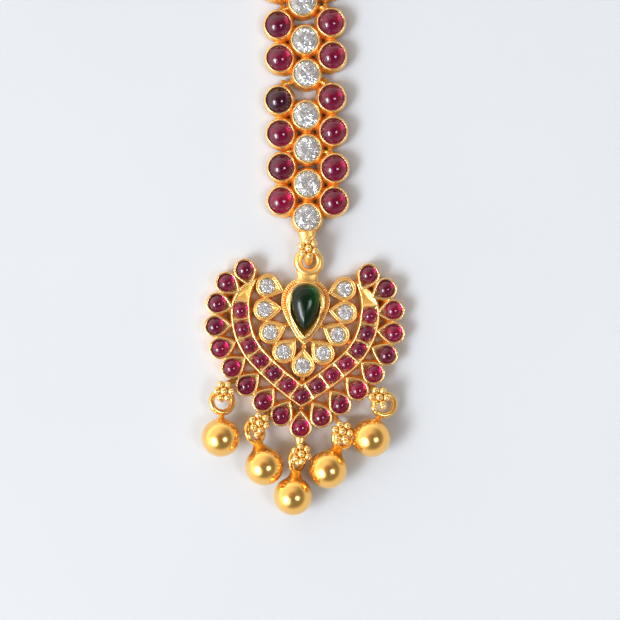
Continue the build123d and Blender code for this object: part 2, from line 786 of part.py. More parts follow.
def main():
    """Build every piece and write it to its file."""
    os.makedirs("parts", exist_ok=True)
    keep("pendant_frame", build_pendant_frame())
    keep("emerald", build_emerald())
    small_ruby = cabochon(CHANNEL_RUBY_RADIUS, SEAT_FLOOR, GIRDLE_HEIGHT, CABOCHON_TOP)
    edge_ruby = cabochon(OUTER_RUBY_RADIUS, SEAT_FLOOR, GIRDLE_HEIGHT, CABOCHON_TOP)
    small_white = brilliant(WHITE_STONE_RADIUS, SEAT_FLOOR, GIRDLE_HEIGHT, BRILLIANT_TOP)
    keep("channel_rubies", stones(channel_places(), small_ruby))
    keep("outer_rubies", stones(outer_places(), edge_ruby))
    keep("pendant_white_stones", stones(white_places(), small_white))
    for drop in DROPS:
        keep(drop.name, one_solid(drop.build_drop()))

    links = build_links()
    lugs = {link.number: [] for link in links}
    bores = {link.number: [] for link in links}
    for lower, upper in zip(links, links[1:]):
        rings = [LinkRing(lower, upper, side) for side in (-1, 1)]
        lugs[lower.number] += [ring.lower_lug() for ring in rings]
        lugs[upper.number] += [ring.upper_lug() for ring in rings]
        bores[lower.number] += [ring.ring(BORE_CLEARANCE) for ring in rings]
        bores[upper.number] += [ring.ring(BORE_CLEARANCE) for ring in rings]
        keep(f"link_rings_{lower.number}", Compound([ring.ring().solid() for ring in rings]))
    lugs[1].append(build_pendant_neck())
    lugs[LINK_COUNT].append(hook_lug(links[-1]))
    bores[LINK_COUNT].append(hook_ring(links[-1], BORE_CLEARANCE))

    ruby = cabochon(LINK_STONE_RADIUS, LINK_SEAT_FLOOR, LINK_GIRDLE_HEIGHT, LINK_CABOCHON_TOP)
    white = brilliant(LINK_STONE_RADIUS, LINK_SEAT_FLOOR, LINK_GIRDLE_HEIGHT, LINK_BRILLIANT_TOP)
    for link in links:
        name = f"link_{link.number}"
        keep(f"{name}_frame", one_solid(link.build_frame(lugs[link.number], bores[link.number])))
        keep(f"{name}_rubies", Compound([place(x, y, link.lean) * ruby for x, y in link.rubies()]))
        keep(f"{name}_white_stones", Compound([place(x, y, link.lean) * white for x, y in link.whites()]))
    keep("hook_ring", hook_ring(links[-1]))
    keep("hair_hook", build_hook(links[-1]))


main()
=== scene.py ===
"""Looks of a maang tikka: a strand of stone clusters, a heart-shaped pendant and five gold balls.

Sizes are in millimetres until a piece becomes a mesh. The pendant's axis is Y, the strand leaves it
towards +Y, and Z is up from the floor that the jewel's back lies on.
"""

import logging
import math
from dataclasses import dataclass, field
from enum import Enum

import bpy
import numpy as np
from mathutils import Matrix, Vector


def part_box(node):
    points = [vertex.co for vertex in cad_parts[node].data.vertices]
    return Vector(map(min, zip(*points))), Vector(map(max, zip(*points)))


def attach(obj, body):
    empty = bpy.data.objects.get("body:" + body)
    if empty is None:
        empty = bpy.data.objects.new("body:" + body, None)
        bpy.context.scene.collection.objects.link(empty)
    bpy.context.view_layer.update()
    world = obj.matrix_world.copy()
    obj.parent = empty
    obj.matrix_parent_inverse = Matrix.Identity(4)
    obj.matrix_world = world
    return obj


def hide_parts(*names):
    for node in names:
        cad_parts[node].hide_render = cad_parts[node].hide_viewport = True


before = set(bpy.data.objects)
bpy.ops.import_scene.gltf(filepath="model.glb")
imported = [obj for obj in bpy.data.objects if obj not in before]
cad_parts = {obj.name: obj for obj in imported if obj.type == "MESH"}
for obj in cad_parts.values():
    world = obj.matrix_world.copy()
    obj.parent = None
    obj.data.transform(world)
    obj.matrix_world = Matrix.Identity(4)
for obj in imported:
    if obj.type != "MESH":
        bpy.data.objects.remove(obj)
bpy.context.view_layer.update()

LOG = logging.getLogger("maang_tikka")
Array = np.ndarray
Pair = tuple[float, float]
Triple = tuple[float, float, float]
Socket = bpy.types.NodeSocket
MM = 0.001
MARK = "mark"
TWO_PI = 2 * math.pi
X_AXIS, Y_AXIS, Z_AXIS = np.eye(3)
IN_PLAN = np.array([1, 1, 0])
MIRROR = np.array([-1, 1])


class Slot(Enum):
    """The record's material slots."""

    GOLD = "gold"
    POLISHED = "polished_gold"
    RED = "red_stone"
    WHITE = "white_stone"
    GREEN = "green_stone"


class RubyTone(Enum):
    """How dark a cabochon's own red is, from 0 for a clear bright stone to 1 for a plum one."""

    BRIGHT = 0.0
    CLEAR = 0.3
    DEEP = 0.55
    PLUM = 1.0


def usual_tones(seed: int, shape: int | tuple[int, int]) -> Array:
    """Tones of rubies that nothing sets apart, drawn evenly between bright and deep."""
    return np.random.default_rng(seed).uniform(RubyTone.BRIGHT.value, RubyTone.DEEP.value, shape)


def usual_turns(seed: int, count: int) -> Array:
    """How far each brilliant is turned in its cup: by up to one of its eight parts."""
    return np.random.default_rng(seed).uniform(0, math.pi / 4, count)


# ------------------------ points and surfaces


def unit(vectors: Array) -> Array:
    """Vectors brought to length one along their last axis."""
    return vectors / np.linalg.norm(vectors, axis=-1, keepdims=True)


def angles(count: int, start: float = 0.0) -> Array:
    """Evenly spaced angles round a whole turn, the last one left out."""
    return start + TWO_PI * np.arange(count) / count


def round_points(angle: Array, radius: float = 1.0) -> Array:
    """Points of a circle about the origin at some angles."""
    return radius * np.stack([np.cos(angle), np.sin(angle)], axis=-1)


def eased(share: Array) -> Array:
    """A share held between 0 and 1 and smoothed: 3 s^2 - 2 s^3."""
    held = np.clip(share, 0.0, 1.0)
    return held * held * (3 - 2 * held)


def tapered(ends: Pair, share: Array) -> Array:
    """A size that runs from one value to another with a share."""
    return ends[0] + (ends[1] - ends[0]) * share


def level(points: Array, height: float | Array) -> Array:
    """Points of the plan raised to a height."""
    return np.concatenate([points, np.broadcast_to(height, points.shape[:-1])[..., None]], axis=-1)


@dataclass(frozen=True)
class Placement:
    """A place in the jewel: an origin in millimetres and three axes as the rows of a matrix."""

    origin: Array
    axes: Array

    @staticmethod
    def flat(x: float, y: float, turn: float = 0.0, z: float = 0.0) -> "Placement":
        """A level place turned about the upright by an angle in radians."""
        cos, sin = math.cos(turn), math.sin(turn)
        return Placement(np.array([x, y, z]), np.array([[cos, sin, 0], [-sin, cos, 0], [0, 0, 1.0]]))

    @staticmethod
    def facing(origin: Array, z_axis: Array, x_axis: Array) -> "Placement":
        """A place whose Z runs along one direction.

        Args:
            origin: where it stands.
            z_axis: the direction of its Z.
            x_axis: a direction that its X comes as near to as it can.
        Returns:
            The place.
        """
        z = unit(z_axis)
        x = unit(x_axis - (x_axis @ z) * z)
        return Placement(origin, np.stack([x, np.cross(z, x), z]))

    def carry(self, points: Array) -> Array:
        """Points of this place in the jewel's own frame."""
        return self.origin + points @ self.axes

    def moved(self, point: Array) -> "Placement":
        """The same axes at one of this place's own points."""
        return Placement(self.carry(point), self.axes)


@dataclass(frozen=True)
class Surface:
    """Points in millimetres, faces of four corners (a triangle's last is -1) and a mark per point.

    The mark of metal paints its light: 0 on a crest gives a pale painted highlight, 1 in a recess gives
    painted shade, 2 gives old patina darkened further by painted shade.
    The mark of a ruby is its tone, that of the green stone a painted glow on one side, and that of a
    brilliant is its foil.
    """

    points: Array
    faces: Array
    mark: Array

    @staticmethod
    def join(parts: "list[Surface]") -> "Surface":
        """Several surfaces as one.

        Args:
            parts: the surfaces, in order.
        Returns:
            One surface with all their points and faces.
        """
        starts = np.cumsum([0] + [len(part.points) for part in parts[:-1]])
        shifted = [np.where(part.faces < 0, -1, part.faces + start) for part, start in zip(parts, starts)]
        return Surface(
            np.concatenate([part.points for part in parts]),
            np.concatenate(shifted),
            np.concatenate([part.mark for part in parts]),
        )

    def marked(self, value: float | Array) -> "Surface":
        """The same surface with another mark, one for all its points or one for each."""
        return Surface(self.points, self.faces, np.full(len(self.points), value))

    def carried(self, place: Placement) -> "Surface":
        """The same surface with its points taken as a place's own."""
        return Surface(place.carry(self.points), self.faces, self.mark)


def grid_faces(rows: int, columns: int, wrap_rows: bool, wrap_columns: bool) -> Array:
    """Faces of a grid of points: corner (i, j) is joined to (i, j+1), (i+1, j+1) and (i+1, j).

    Args:
        rows, columns: how many points the grid has each way.
        wrap_rows, wrap_columns: whether the last row or column is joined to the first.
    Returns:
        The faces, four corners each.
    """
    i, j = np.meshgrid(
        np.arange(rows if wrap_rows else rows - 1),
        np.arange(columns if wrap_columns else columns - 1),
        indexing="ij",
    )
    i, j = i.ravel(), j.ravel()
    after_i, after_j = (i + 1) % rows, (j + 1) % columns
    corners = [i * columns + j, i * columns + after_j, after_i * columns + after_j, after_i * columns + j]
    return np.stack(corners, axis=1)


def sheet(points: Array, closed: bool = False, mark: float = 0.0) -> Surface:
    """A surface through a grid of points.

    Args:
        points: the grid, of shape (rows, columns, 3).
        closed: whether it closes on itself both ways, as a ring does.
        mark: the mark of all its points.
    Returns:
        The surface.
    """
    rows, columns = points.shape[:2]
    faces = grid_faces(rows, columns, closed, closed)
    return Surface(points.reshape(-1, 3), faces, np.full(rows * columns, mark))


def stack(loops: Array, marks: Array, foot: Array | None, head: Array | None) -> Surface:
    """Closed loops joined in order, each end closed by a fan to a point.

    The loops run counter-clockwise seen from above, and go from the outside of the foot upward.

    Args:
        loops: points of shape (loops, points round, 3).
        marks: one mark for each loop.
        foot, head: the points that close the two ends, or None for an open end.
    Returns:
        The surface, facing outwards.
    """
    count, around = loops.shape[:2]
    points = [loops.reshape(-1, 3)]
    faces = [grid_faces(count, around, False, True)]
    mark = [np.repeat(marks, around)]
    here = np.arange(around)
    after = (here + 1) % around
    none = np.full(around, -1)
    total = count * around
    if foot is not None:
        faces.append(np.stack([np.full(around, total), after, here, none], axis=1))
        points.append(foot[None])
        mark.append(marks[:1])
        total += 1
    if head is not None:
        top = (count - 1) * around
        faces.append(np.stack([np.full(around, total), top + here, top + after, none], axis=1))
        points.append(head[None])
        mark.append(marks[-1:])
    return Surface(np.concatenate(points), np.concatenate(faces), np.concatenate(mark))


def turned(profile: Array, place: Placement, around: int, foot: float, head: float) -> Surface:
    """A profile turned about the place's Z and closed on the axis at both ends.

    Point (k, n) is (radius k cos angle n, radius k sin angle n, height k).

    Args:
        profile: rows of radius, height and mark.
        place: where the axis stands.
        around: how many points go round.
        foot, head: the heights at which the two ends meet the axis.
    Returns:
        The turned surface.
    """
    loops = level(profile[:, None, :1] * round_points(angles(around)), profile[:, None, 1])
    ends = place.carry(np.array([[0, 0, foot], [0, 0, head]]))
    return stack(place.carry(loops), profile[:, 2], ends[0], ends[1])


def ball(centre: Array, radius: float, around: int = 20, up: int = 11, mark: float = 0.0) -> Surface:
    """A sphere: rows of latitude between two poles, each row radius cos latitude wide.

    Args:
        centre: its centre.
        radius: its radius.
        around, up: how many points go round it, and how many rows lie between its poles.
        mark: the mark of all its points.
    Returns:
        The sphere.
    """
    latitude = np.linspace(-math.pi / 2, math.pi / 2, up + 2)[1:-1]
    profile = np.stack([radius * np.cos(latitude), radius * np.sin(latitude), np.full(up, mark)], axis=1)
    return turned(profile, Placement(centre, np.eye(3)), around, -radius, radius)


def ring(
    place: Placement, radius: float, wire: float, around: int = 64, section: int = 16, stretch: float = 0.0
) -> Surface:
    """A ring of round wire about the place's Z.

    Point (b, a) lies at angle a round the ring and b round the wire:
    ((radius + wire cos b + stretch) cos a, (radius + wire cos b) sin a, wire sin b).

    Args:
        place: the ring's centre and plane.
        radius, wire: radii of the ring's middle line and of its wire.
        around, section: points round the ring and round the wire.
        stretch: how much longer the ring is along X, at each end.
    Returns:
        The ring.
    """
    b, a = np.meshgrid(angles(section), angles(around), indexing="ij")
    reach = radius + wire * np.cos(b)
    points = np.stack([(reach + stretch) * np.cos(a), reach * np.sin(a), wire * np.sin(b)], axis=-1)
    return sheet(place.carry(points), closed=True)


def rod(
    path: Array, side: Array, widths: Array, heights: Array, section: int = 20, mark: float = 0.0
) -> Surface:
    """A bar of oval section along a flat path, wide along `side` at right angles to the path.

    Point (b, k) is path k, moved by width k cos b along the side and by height k sin b along the
    third direction, which is path direction x side.

    Args:
        path: points along the bar, of shape (steps, 3).
        side: direction across the bar.
        widths, heights: half sizes of the section, one for each step.
        section: points round the section.
        mark: the mark of the metal.
    Returns:
        The bar, closed at both ends.
    """
    run = unit(np.gradient(path, axis=0))
    across = unit(side - (side * run).sum(-1, keepdims=True) * run)
    third = np.cross(run, across)
    b = angles(section)[:, None, None]
    points = path + np.cos(b) * widths[:, None] * across + np.sin(b) * heights[:, None] * third
    return stack(np.swapaxes(points, 0, 1), np.full(len(path), mark), path[0], path[-1])


@dataclass(frozen=True)
class Outline:
    """A closed line in the plan, counter-clockwise, with a point at each sharp corner."""

    points: Array

    @staticmethod
    def from_right(right: Array) -> "Outline":
        """A line from its right half, whose first and last points lie on the pendant's axis."""
        return Outline(np.concatenate([right, right[::-1][1:-1] * MIRROR]))

    def mirrored(self) -> "Outline":
        """The line on the other side of the pendant's axis."""
        return Outline(self.points[::-1] * MIRROR)

    def moved(self, step: Array) -> "Outline":
        """The line moved by a step."""
        return Outline(self.points + step)

    def outward(self, most: float) -> Array:
        """For each point, the step that moves both edges beside it outward by one.

        The step is the sum of their two normals over one plus the cosine between them.

        Args:
            most: the longest that a step may be.
        Returns:
            The steps, one for each point.
        """
        edge = unit(np.roll(self.points, -1, axis=0) - self.points)
        normal = np.stack([edge[:, 1], -edge[:, 0]], axis=1)
        before = np.roll(normal, 1, axis=0)
        step = (normal + before) / (1 + (normal * before).sum(1))[:, None]
        return step * np.minimum(1, most / np.linalg.norm(step, axis=1))[:, None]

    def inset(self, amounts: Array, most: float = 6.0) -> Array:
        """The line moved inward by each amount, as an array of shape (amounts, points, 2)."""
        return self.points - np.asarray(amounts)[:, None, None] * self.outward(most)

    def carried(self, profile: Array, most: float = 6.0) -> Array:
        """A profile of inset and height carried round the line, as an array of loops."""
        return level(self.inset(profile[:, 0], most), profile[:, None, 1])

    def as_circle(self, radius: float) -> Array:
        """A circle about the origin whose points lie in the same directions as the line's."""
        return radius * unit(self.points)


@dataclass(frozen=True)
class Pear:
    """A drop shape: a circle about the origin whose flanks bend in to a tip on +Y."""

    radius: float
    tip: float
    flank: float

    def outline(self, round_count: int = 44, flank_count: int = 12) -> Outline:
        """The line: two flank arcs that meet at the tip, and the round end between them.

        A flank's centre lies on the line from its tangent point through the origin, and as far from
        the tangent point as from the tip.

        Args:
            round_count, flank_count: steps round the round end, and along each flank.
        Returns:
            The line.
        """
        reach = self.flank - self.radius
        sine = (2 * self.flank * self.radius - self.radius ** 2 - self.tip ** 2) / (2 * self.tip * reach)
        centre = -reach * np.array([math.sqrt(1 - sine * sine), sine])
        touch = math.atan2(-centre[1], -centre[0])
        end = math.atan2(self.tip - centre[1], -centre[0])
        right = centre + round_points(np.linspace(touch, end, flank_count + 1), self.flank)
        left = right[::-1][1:] * MIRROR
        below = np.linspace(math.pi - touch, TWO_PI + touch, round_count + 1)[1:-1]
        return Outline(np.concatenate([right, left, round_points(below, self.radius)]))


def bar(start: Array, end: Array, width: float, low: float, high: float, mark: float = 0.6) -> Surface:
    """A flat bar with half-round ends and softened edges, which lies level.

    Args:
        start, end: the middles of its round ends, whose distance is its length between them.
        width: its whole width.
        low, high: heights of its under side and its top.
        mark: the mark of the metal above its back edge, which sets its painted shade.
    Returns:
        The bar.
    """
    run = end - start
    length = np.linalg.norm(run)
    far_end = round_points(np.linspace(-math.pi / 2, math.pi / 2, 14), width / 2)
    outline = Outline(np.concatenate([far_end + [length, 0], -far_end]))
    soft = min(0.08, (high - low) / 3)
    # columns: inset, height, mark
    profile = np.array([
        [0.5 * soft, low, 0.4], [0, low + 0.5 * soft, mark], [0, high - soft, mark],
        [0.3 * soft, high - 0.3 * soft, mark], [soft, high, mark],
    ])
    place = Placement.flat(start[0], start[1], math.atan2(run[1], run[0]))
    loops = place.carry(outline.carried(profile))
    return stack(loops, profile[:, 2], loops[0].mean(0), loops[-1].mean(0))


def solder(start: Array, end: Array, height: float, sizes: Triple) -> Surface:
    """A bead of solder midway between two points.

    Args:
        start, end: the two points.
        height: the height of the bead's middle.
        sizes: its half sizes along the line, across it and upright.
    Returns:
        The bead.
    """
    run = end - start
    middle = (start + end) / 2
    # the bead's mark 0.45 gives it a deeper gold as painted shade between the collets
    bead = ball(np.zeros(3), 1.0, 14, 7, 0.45)
    place = Placement.flat(middle[0], middle[1], math.atan2(run[1], run[0]), height)
    return Surface(bead.points * sizes, bead.faces, bead.mark).carried(place)


# ------------------------ pieces


@dataclass
class Piece:
    """One visible piece: its name, its slot, the CAD nodes that it stands for, and its surfaces."""

    name: str
    slot: Slot
    nodes: tuple[str, ...]
    parts: list[Surface] = field(default_factory=list)
    smooth: bool = True
    wobble: float = 0.0

    def hand_worked(self, points: Array) -> Array:
        """Points moved by a slow wave, as hand-worked metal is never quite even.

        Each point moves by wobble times the sines of three slanting combinations of its own place,
        and by less than half as much up and down, so that the back stays on the floor.

        Args:
            points: the points in millimetres.
        Returns:
            The moved points.
        """
        slant = np.array([[1.9, 0.7, 0.3], [-0.8, 2.1, 0.9], [0.6, -1.1, 1.7]])
        most = self.wobble * np.array([1.0, 1.0, 0.4])
        return points + most * np.sin(points @ slant + [0.4, 1.3, 2.2])

    def make(self, material: bpy.types.Material) -> None:
        """Makes the piece an object that rides on the jewel's one body, with its place in its mesh.

        Args:
            material: its finish.
        """
        whole = Surface.join(self.parts)
        points = self.hand_worked(whole.points) * MM
        is_triangle = whole.faces[:, 3] < 0
        faces = whole.faces[~is_triangle].tolist() + whole.faces[is_triangle, :3].tolist()
        mesh = bpy.data.meshes.new(self.name)
        mesh.from_pydata(points.tolist(), [], faces)
        mesh.attributes.new(MARK, "FLOAT", "POINT").data.foreach_set("value", whole.mark.astype(np.float32))
        mesh.polygons.foreach_set("use_smooth", np.full(len(mesh.polygons), self.smooth))
        mesh.validate()
        mesh.materials.append(material)
        made = bpy.data.objects.new(self.name, mesh)
        bpy.context.scene.collection.objects.link(made)
        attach(made, "root")
        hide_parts(*self.nodes)
        LOG.info("%s: %d points, %d faces", self.name, len(points), len(mesh.polygons))


# ------------------------ finishes


@dataclass(frozen=True)
class Nodes:
    """The node tree of a material or of the world, with short ways to add to it."""

    owner: bpy.types.Material | bpy.types.World

    @staticmethod
    def of(owner: bpy.types.Material | bpy.types.World) -> "Nodes":
        """The tree of something new, which holds its output and one shader."""
        owner.use_nodes = True
        return Nodes(owner)

    def named(self, name: str) -> bpy.types.ShaderNode:
        """A node that the tree had from the start."""
        return self.owner.node_tree.nodes[name]

    def add(self, kind: str, **values: object) -> bpy.types.ShaderNode:
        """A node of a kind.

        Args:
            kind: its type.
            values: those of its own settings that aren't left as they are.
        Returns:
            The node.
        """
        node = self.owner.node_tree.nodes.new(kind)
        for name, value in values.items():
            setattr(node, name, value)
        return node

    def link(self, source: Socket, target: Socket) -> None:
        """Joins an output to an input."""
        self.owner.node_tree.links.new(source, target)

    def mark(self) -> Socket:
        """The mark that the piece's points carry."""
        return self.add("ShaderNodeAttribute", attribute_name=MARK).outputs["Fac"]

    def noise(self, scale: float, detail: float = 2.0) -> Socket:
        """Noise over the piece's own place.

        Args:
            scale: how many of its clouds lie along a metre.
            detail: how many finer clouds are laid over them.
        Returns:
            The noise, from 0 to 1.
        """
        coordinates = self.add("ShaderNodeTexCoord")
        node = self.add("ShaderNodeTexNoise")
        node.inputs["Scale"].default_value = scale
        node.inputs["Detail"].default_value = detail
        self.link(coordinates.outputs["Object"], node.inputs["Vector"])
        return node.outputs["Fac"]

    def toward(self, way: Vector, start: Pair, end: Pair) -> Socket:
        """A smooth step of how nearly the light comes from a way.

        Args:
            way: the way.
            start, end: the cosine of the angle to the way, and the value that the step has there.
        Returns:
            The value.
        """
        coordinates = self.add("ShaderNodeTexCoord")
        along = self.add("ShaderNodeVectorMath", operation="DOT_PRODUCT")
        along.inputs[1].default_value = way.normalized()
        self.link(coordinates.outputs["Generated"], along.inputs[0])
        return self.ranged(along.outputs["Value"], start, end, "SMOOTHSTEP")

    def ranged(self, value: Socket, start: Pair, end: Pair, kind: str = "LINEAR") -> Socket:
        """A value brought from one range to another, and held there.

        Args:
            value: the value.
            start, end: where each range starts and ends, the value's own first.
            kind: how the steps between are spaced.
        Returns:
            The new value.
        """
        node = self.add("ShaderNodeMapRange", interpolation_type=kind)
        for end_name, (own, new) in (("Min", start), ("Max", end)):
            node.inputs[f"From {end_name}"].default_value = own
            node.inputs[f"To {end_name}"].default_value = new
        self.link(value, node.inputs["Value"])
        return node.outputs["Result"]

    def mixed(self, share: Socket, first: Triple | Socket, second: Triple) -> Socket:
        """One colour blended into another.

        Args:
            share: how much of the second colour there is.
            first: the first colour, or a socket that gives it.
            second: the second colour.
        Returns:
            The blend.
        """
        node = self.add("ShaderNodeMix", data_type="RGBA")
        sockets = {(socket.name, socket.type): socket for socket in node.inputs}
        self.link(share, sockets["Factor", "VALUE"])
        for name, colour in (("A", first), ("B", second)):
            if isinstance(colour, tuple):
                sockets[name, "RGBA"].default_value = (*colour, 1)
            else:
                self.link(colour, sockets[name, "RGBA"])
        return next(socket for socket in node.outputs if socket.type == "RGBA")

    def computed(self, operation: str, *values: Socket) -> Socket:
        """What an operation makes of some values.

        Args:
            operation: its name.
            values: the values, in its own order.
        Returns:
            The result.
        """
        node = self.add("ShaderNodeMath", operation=operation)
        for value, target in zip(values, node.inputs):
            self.link(value, target)
        return node.outputs["Value"]

    def bump(self, height: Socket, distance: float) -> Socket:
        """The normal of a surface that a height dents.

        Args:
            height: the height, from 0 to 1.
            distance: how many metres lie between 0 and 1.
        Returns:
            The normal.
        """
        node = self.add("ShaderNodeBump")
        node.inputs["Distance"].default_value = distance
        node.inputs["Strength"].default_value = 1.0
        self.link(height, node.inputs["Height"])
        return node.outputs["Normal"]


@dataclass(frozen=True)
class GoldFinish:
    """Yellow gold: pale where it stands up, as a painted highlight, and deeper and duller in its
    recesses (mark 1), where the deeper colour is painted shade, with a brown patina at the foot of its
    openings (mark 2) that is darkened further as painted shade.

    `bare` is the share of bare metal, and the rest is a dull skin. The roughness wanders between
    `smoothest` and `roughest`, and grows by up to `recess` with the mark. Dents of the depth
    `dents`, in metres, come at `grain` to the metre.
    """

    name: str
    # bright and deep: the gold's colour with a painted highlight on crests, and with painted shade in
    # recesses
    bright: Triple
    deep: Triple
    patina_and_shade: Triple
    bare: float
    smoothest: float
    roughest: float
    recess: float
    grain: float
    dents: float
    wear: float = 900.0

    def material(self) -> bpy.types.Material:
        """The finish as a material.

        Returns:
            The material.
        """
        nodes = Nodes.of(bpy.data.materials.new(self.name))
        inputs = nodes.named("Principled BSDF").inputs
        inputs["Metallic"].default_value = self.bare
        mark = nodes.mark()
        # painted highlight on crests and painted shade in recesses, by the mark
        painted_light_colour = nodes.mixed(mark, self.bright, self.deep)
        # from mark 1 to 2 the colour turns to patina darkened further as painted shade
        foot = nodes.ranged(mark, (1.0, 0.0), (2.0, 1.0))
        nodes.link(nodes.mixed(foot, painted_light_colour, self.patina_and_shade), inputs["Base Color"])
        worn = nodes.ranged(nodes.noise(self.wear, 3.0), (0.0, self.smoothest), (1.0, self.roughest))
        dull = nodes.ranged(mark, (0.0, 0.0), (1.0, self.recess))
        nodes.link(nodes.computed("ADD", worn, dull), inputs["Roughness"])
        nodes.link(nodes.bump(nodes.noise(self.grain, 4.0), self.dents), inputs["Normal"])
        return nodes.owner


@dataclass(frozen=True)
class StoneFinish:
    """A polished stone that lets light through, by the share `clearness`.

    Its colour runs from the first to the second as its mark goes from 0 to 1; on the green stone that second
    colour is a painted glow. On a foil-backed stone the mark is the foil instead, and the colour changes in
    small clouds, `clouds` to the metre, which paint dark reflections over its facets.
    """

    name: str
    first: Triple
    second: Triple
    index: float
    clearness: float
    roughness: float
    foil: bool = False
    clouds: float = 3000.0

    def material(self) -> bpy.types.Material:
        """The finish as a material.

        Returns:
            The material.
        """
        nodes = Nodes.of(bpy.data.materials.new(self.name))
        inputs = nodes.named("Principled BSDF").inputs
        share = nodes.mark()
        if self.foil:
            nodes.link(share, inputs["Metallic"])
            # painted reflections: the foil-backed stone darkens in small clouds, as dark facets would reflect
            share = nodes.ranged(nodes.noise(self.clouds), (0.40, 0.0), (0.62, 1.0))
        nodes.link(nodes.mixed(share, self.first, self.second), inputs["Base Color"])
        inputs["Transmission Weight"].default_value = self.clearness
        inputs["IOR"].default_value = self.index
        inputs["Roughness"].default_value = self.roughness
        return nodes.owner


Finish = GoldFinish | StoneFinish
Dressed = list[tuple[Piece, Finish]]

# bright and deep paint highlight and shade into one gold; the brown is patina darkened further as painted
# shade
GOLD = GoldFinish(
    name="worked_gold", bright=(1.0, 0.71, 0.30), deep=(1.0, 0.48, 0.055), patina_and_shade=(0.18, 0.045, 0.02),
    bare=0.90, smoothest=0.15, roughest=0.26, recess=0.32, grain=2800.0, dents=0.00004,
)
BALL_GOLD = GoldFinish(
    name="ball_gold", bright=(1.0, 0.60, 0.18), deep=(1.0, 0.42, 0.03), patina_and_shade=(0.20, 0.055, 0.025),
    bare=0.94, smoothest=0.17, roughest=0.25, recess=0.2, grain=500.0, dents=0.00002,
)
RUBY = StoneFinish(
    name="ruby", first=(0.51, 0.0, 0.135), second=(0.12, 0.0, 0.05), index=1.62, clearness=0.78,
    roughness=0.04,
)
# the white stone's second colour is its painted dark facet reflections
CLEAR = StoneFinish(
    name="white_stone", first=(0.97, 0.965, 0.98), second=(0.62, 0.65, 0.71), index=2.0, clearness=0.70,
    roughness=0.03, foil=True,
)
# the green stone's second colour is its painted glow
EMERALD = StoneFinish(
    name="emerald", first=(0.001, 0.032, 0.016), second=(0.006, 0.55, 0.08), index=1.42, clearness=0.8,
    roughness=0.17,
)


# ------------------------ rows of the pendant


@dataclass(frozen=True)
class Row:
    """A line of stones that leaves the pendant's axis and bends left through tangent arcs.

    It starts at `start_y` on the axis along `heading`, in degrees. Each arc is a radius and a
    length. Beside the middle stone, `count` stones lie on each side, `pitch` apart.
    """

    start_y: float
    heading: float
    arcs: tuple[Pair, ...]
    pitch: float
    count: int

    def at(self, lengths: float | Array, outward: float = 0.0) -> tuple[Array, Array]:
        """Points and headings at some lengths along the row, moved outward from the heart.

        Along an arc of radius r the heading h grows by length / r, x by r (sin h2 - sin h1) and y
        by -r (cos h2 - cos h1). The last arc has no end, and the first reaches back past the axis.

        Args:
            lengths: distances along the row.
            outward: distance to the right of it.
        Returns:
            The points, of shape (..., 2), and the headings in radians.
        """
        left = np.asarray(lengths, float)
        x, y = np.zeros(left.shape), np.full(left.shape, self.start_y)
        heading = np.full(left.shape, math.radians(self.heading))
        for index, (radius, length) in enumerate(self.arcs):
            most = np.inf if index == len(self.arcs) - 1 else length
            step = np.clip(left, -np.inf if index == 0 else 0.0, most)
            after = heading + step / radius
            x = x + radius * (np.sin(after) - np.sin(heading))
            y = y - radius * (np.cos(after) - np.cos(heading))
            heading, left = after, left - step
        points = np.stack([x + outward * np.sin(heading), y - outward * np.cos(heading)], axis=-1)
        return points, heading

    def axis_length(self, outward: float) -> float:
        """Length at which the row, moved outward, meets the pendant's axis.

        Args:
            outward: how far it is moved.
        Returns:
            The length, less than 0 where the moved row starts behind the axis.
        """
        radius = self.arcs[0][0]
        heading = math.radians(self.heading)
        return radius * (math.asin(radius * math.sin(heading) / (radius + outward)) - heading)

    def places(self) -> list[Placement]:
        """Where the row's stones sit.

        Returns:
            The places: the middle one, then the right side's, then the left side's.
        """
        points, headings = self.at(self.pitch * np.arange(1, self.count + 1))
        right = [Placement.flat(x, y, heading) for (x, y), heading in zip(points, headings)]
        left = [Placement.flat(-x, y, -heading) for (x, y), heading in zip(points, headings)]
        return [Placement.flat(0.0, self.start_y)] + right + left

    def neighbours(self) -> list[tuple[Placement, Placement]]:
        """Each two places that lie side by side.

        Returns:
            The pairs, along the right side and then along the left.
        """
        places = self.places()
        right = [places[0]] + places[1:self.count + 1]
        left = [places[0]] + places[self.count + 1:]
        return list(zip(right, right[1:])) + list(zip(left, left[1:]))


OUTER_ROW = Row(
    start_y=-20.4, heading=26.0, arcs=((33.5, 15.9), (11.4, 12.6), (6.0, 0.0)), pitch=3.67, count=9
)
CHANNEL_ROW = Row(start_y=-15.4, heading=34.0, arcs=((55.0, 8.8), (11.1, 8.84)), pitch=2.94, count=6)
WHITE_ROW = Row(start_y=-10.5, heading=23.0, arcs=((10.7, 0.0),), pitch=3.8, count=4)


# ------------------------ stones


@dataclass(frozen=True)
class Cabochon:
    """A round domed stone: an upright girdle, then an arc of a circle up to the middle."""

    radius: float
    foot: float
    girdle: float
    top: float
    rows: int = 9
    around: int = 36

    def at(self, place: Placement, tone: float) -> Surface:
        """The stone at a place.

        The arc's radius is (radius squared + rise squared) / (2 rise).

        Args:
            place: the stone's axis, at the height of the metal's back.
            tone: how dark it is.
        Returns:
            The stone.
        """
        rise = self.top - self.girdle
        sphere = (self.radius ** 2 + rise ** 2) / (2 * rise)
        widest = math.asin(self.radius / sphere) if sphere >= self.radius else math.pi / 2
        angle = np.linspace(widest, 0, self.rows)[:-1]
        arc = np.stack([sphere * np.sin(angle), self.top - sphere + sphere * np.cos(angle)], axis=1)
        below = np.array([
            [0.9 * self.radius, self.foot], [self.radius, self.foot + 0.1 * (self.girdle - self.foot)],
            [self.radius, self.girdle - 0.05],
        ])
        profile = np.concatenate([below, arc])
        profile = np.column_stack([profile, np.full(len(profile), tone)])
        return turned(profile, place, self.around, self.foot, self.top)


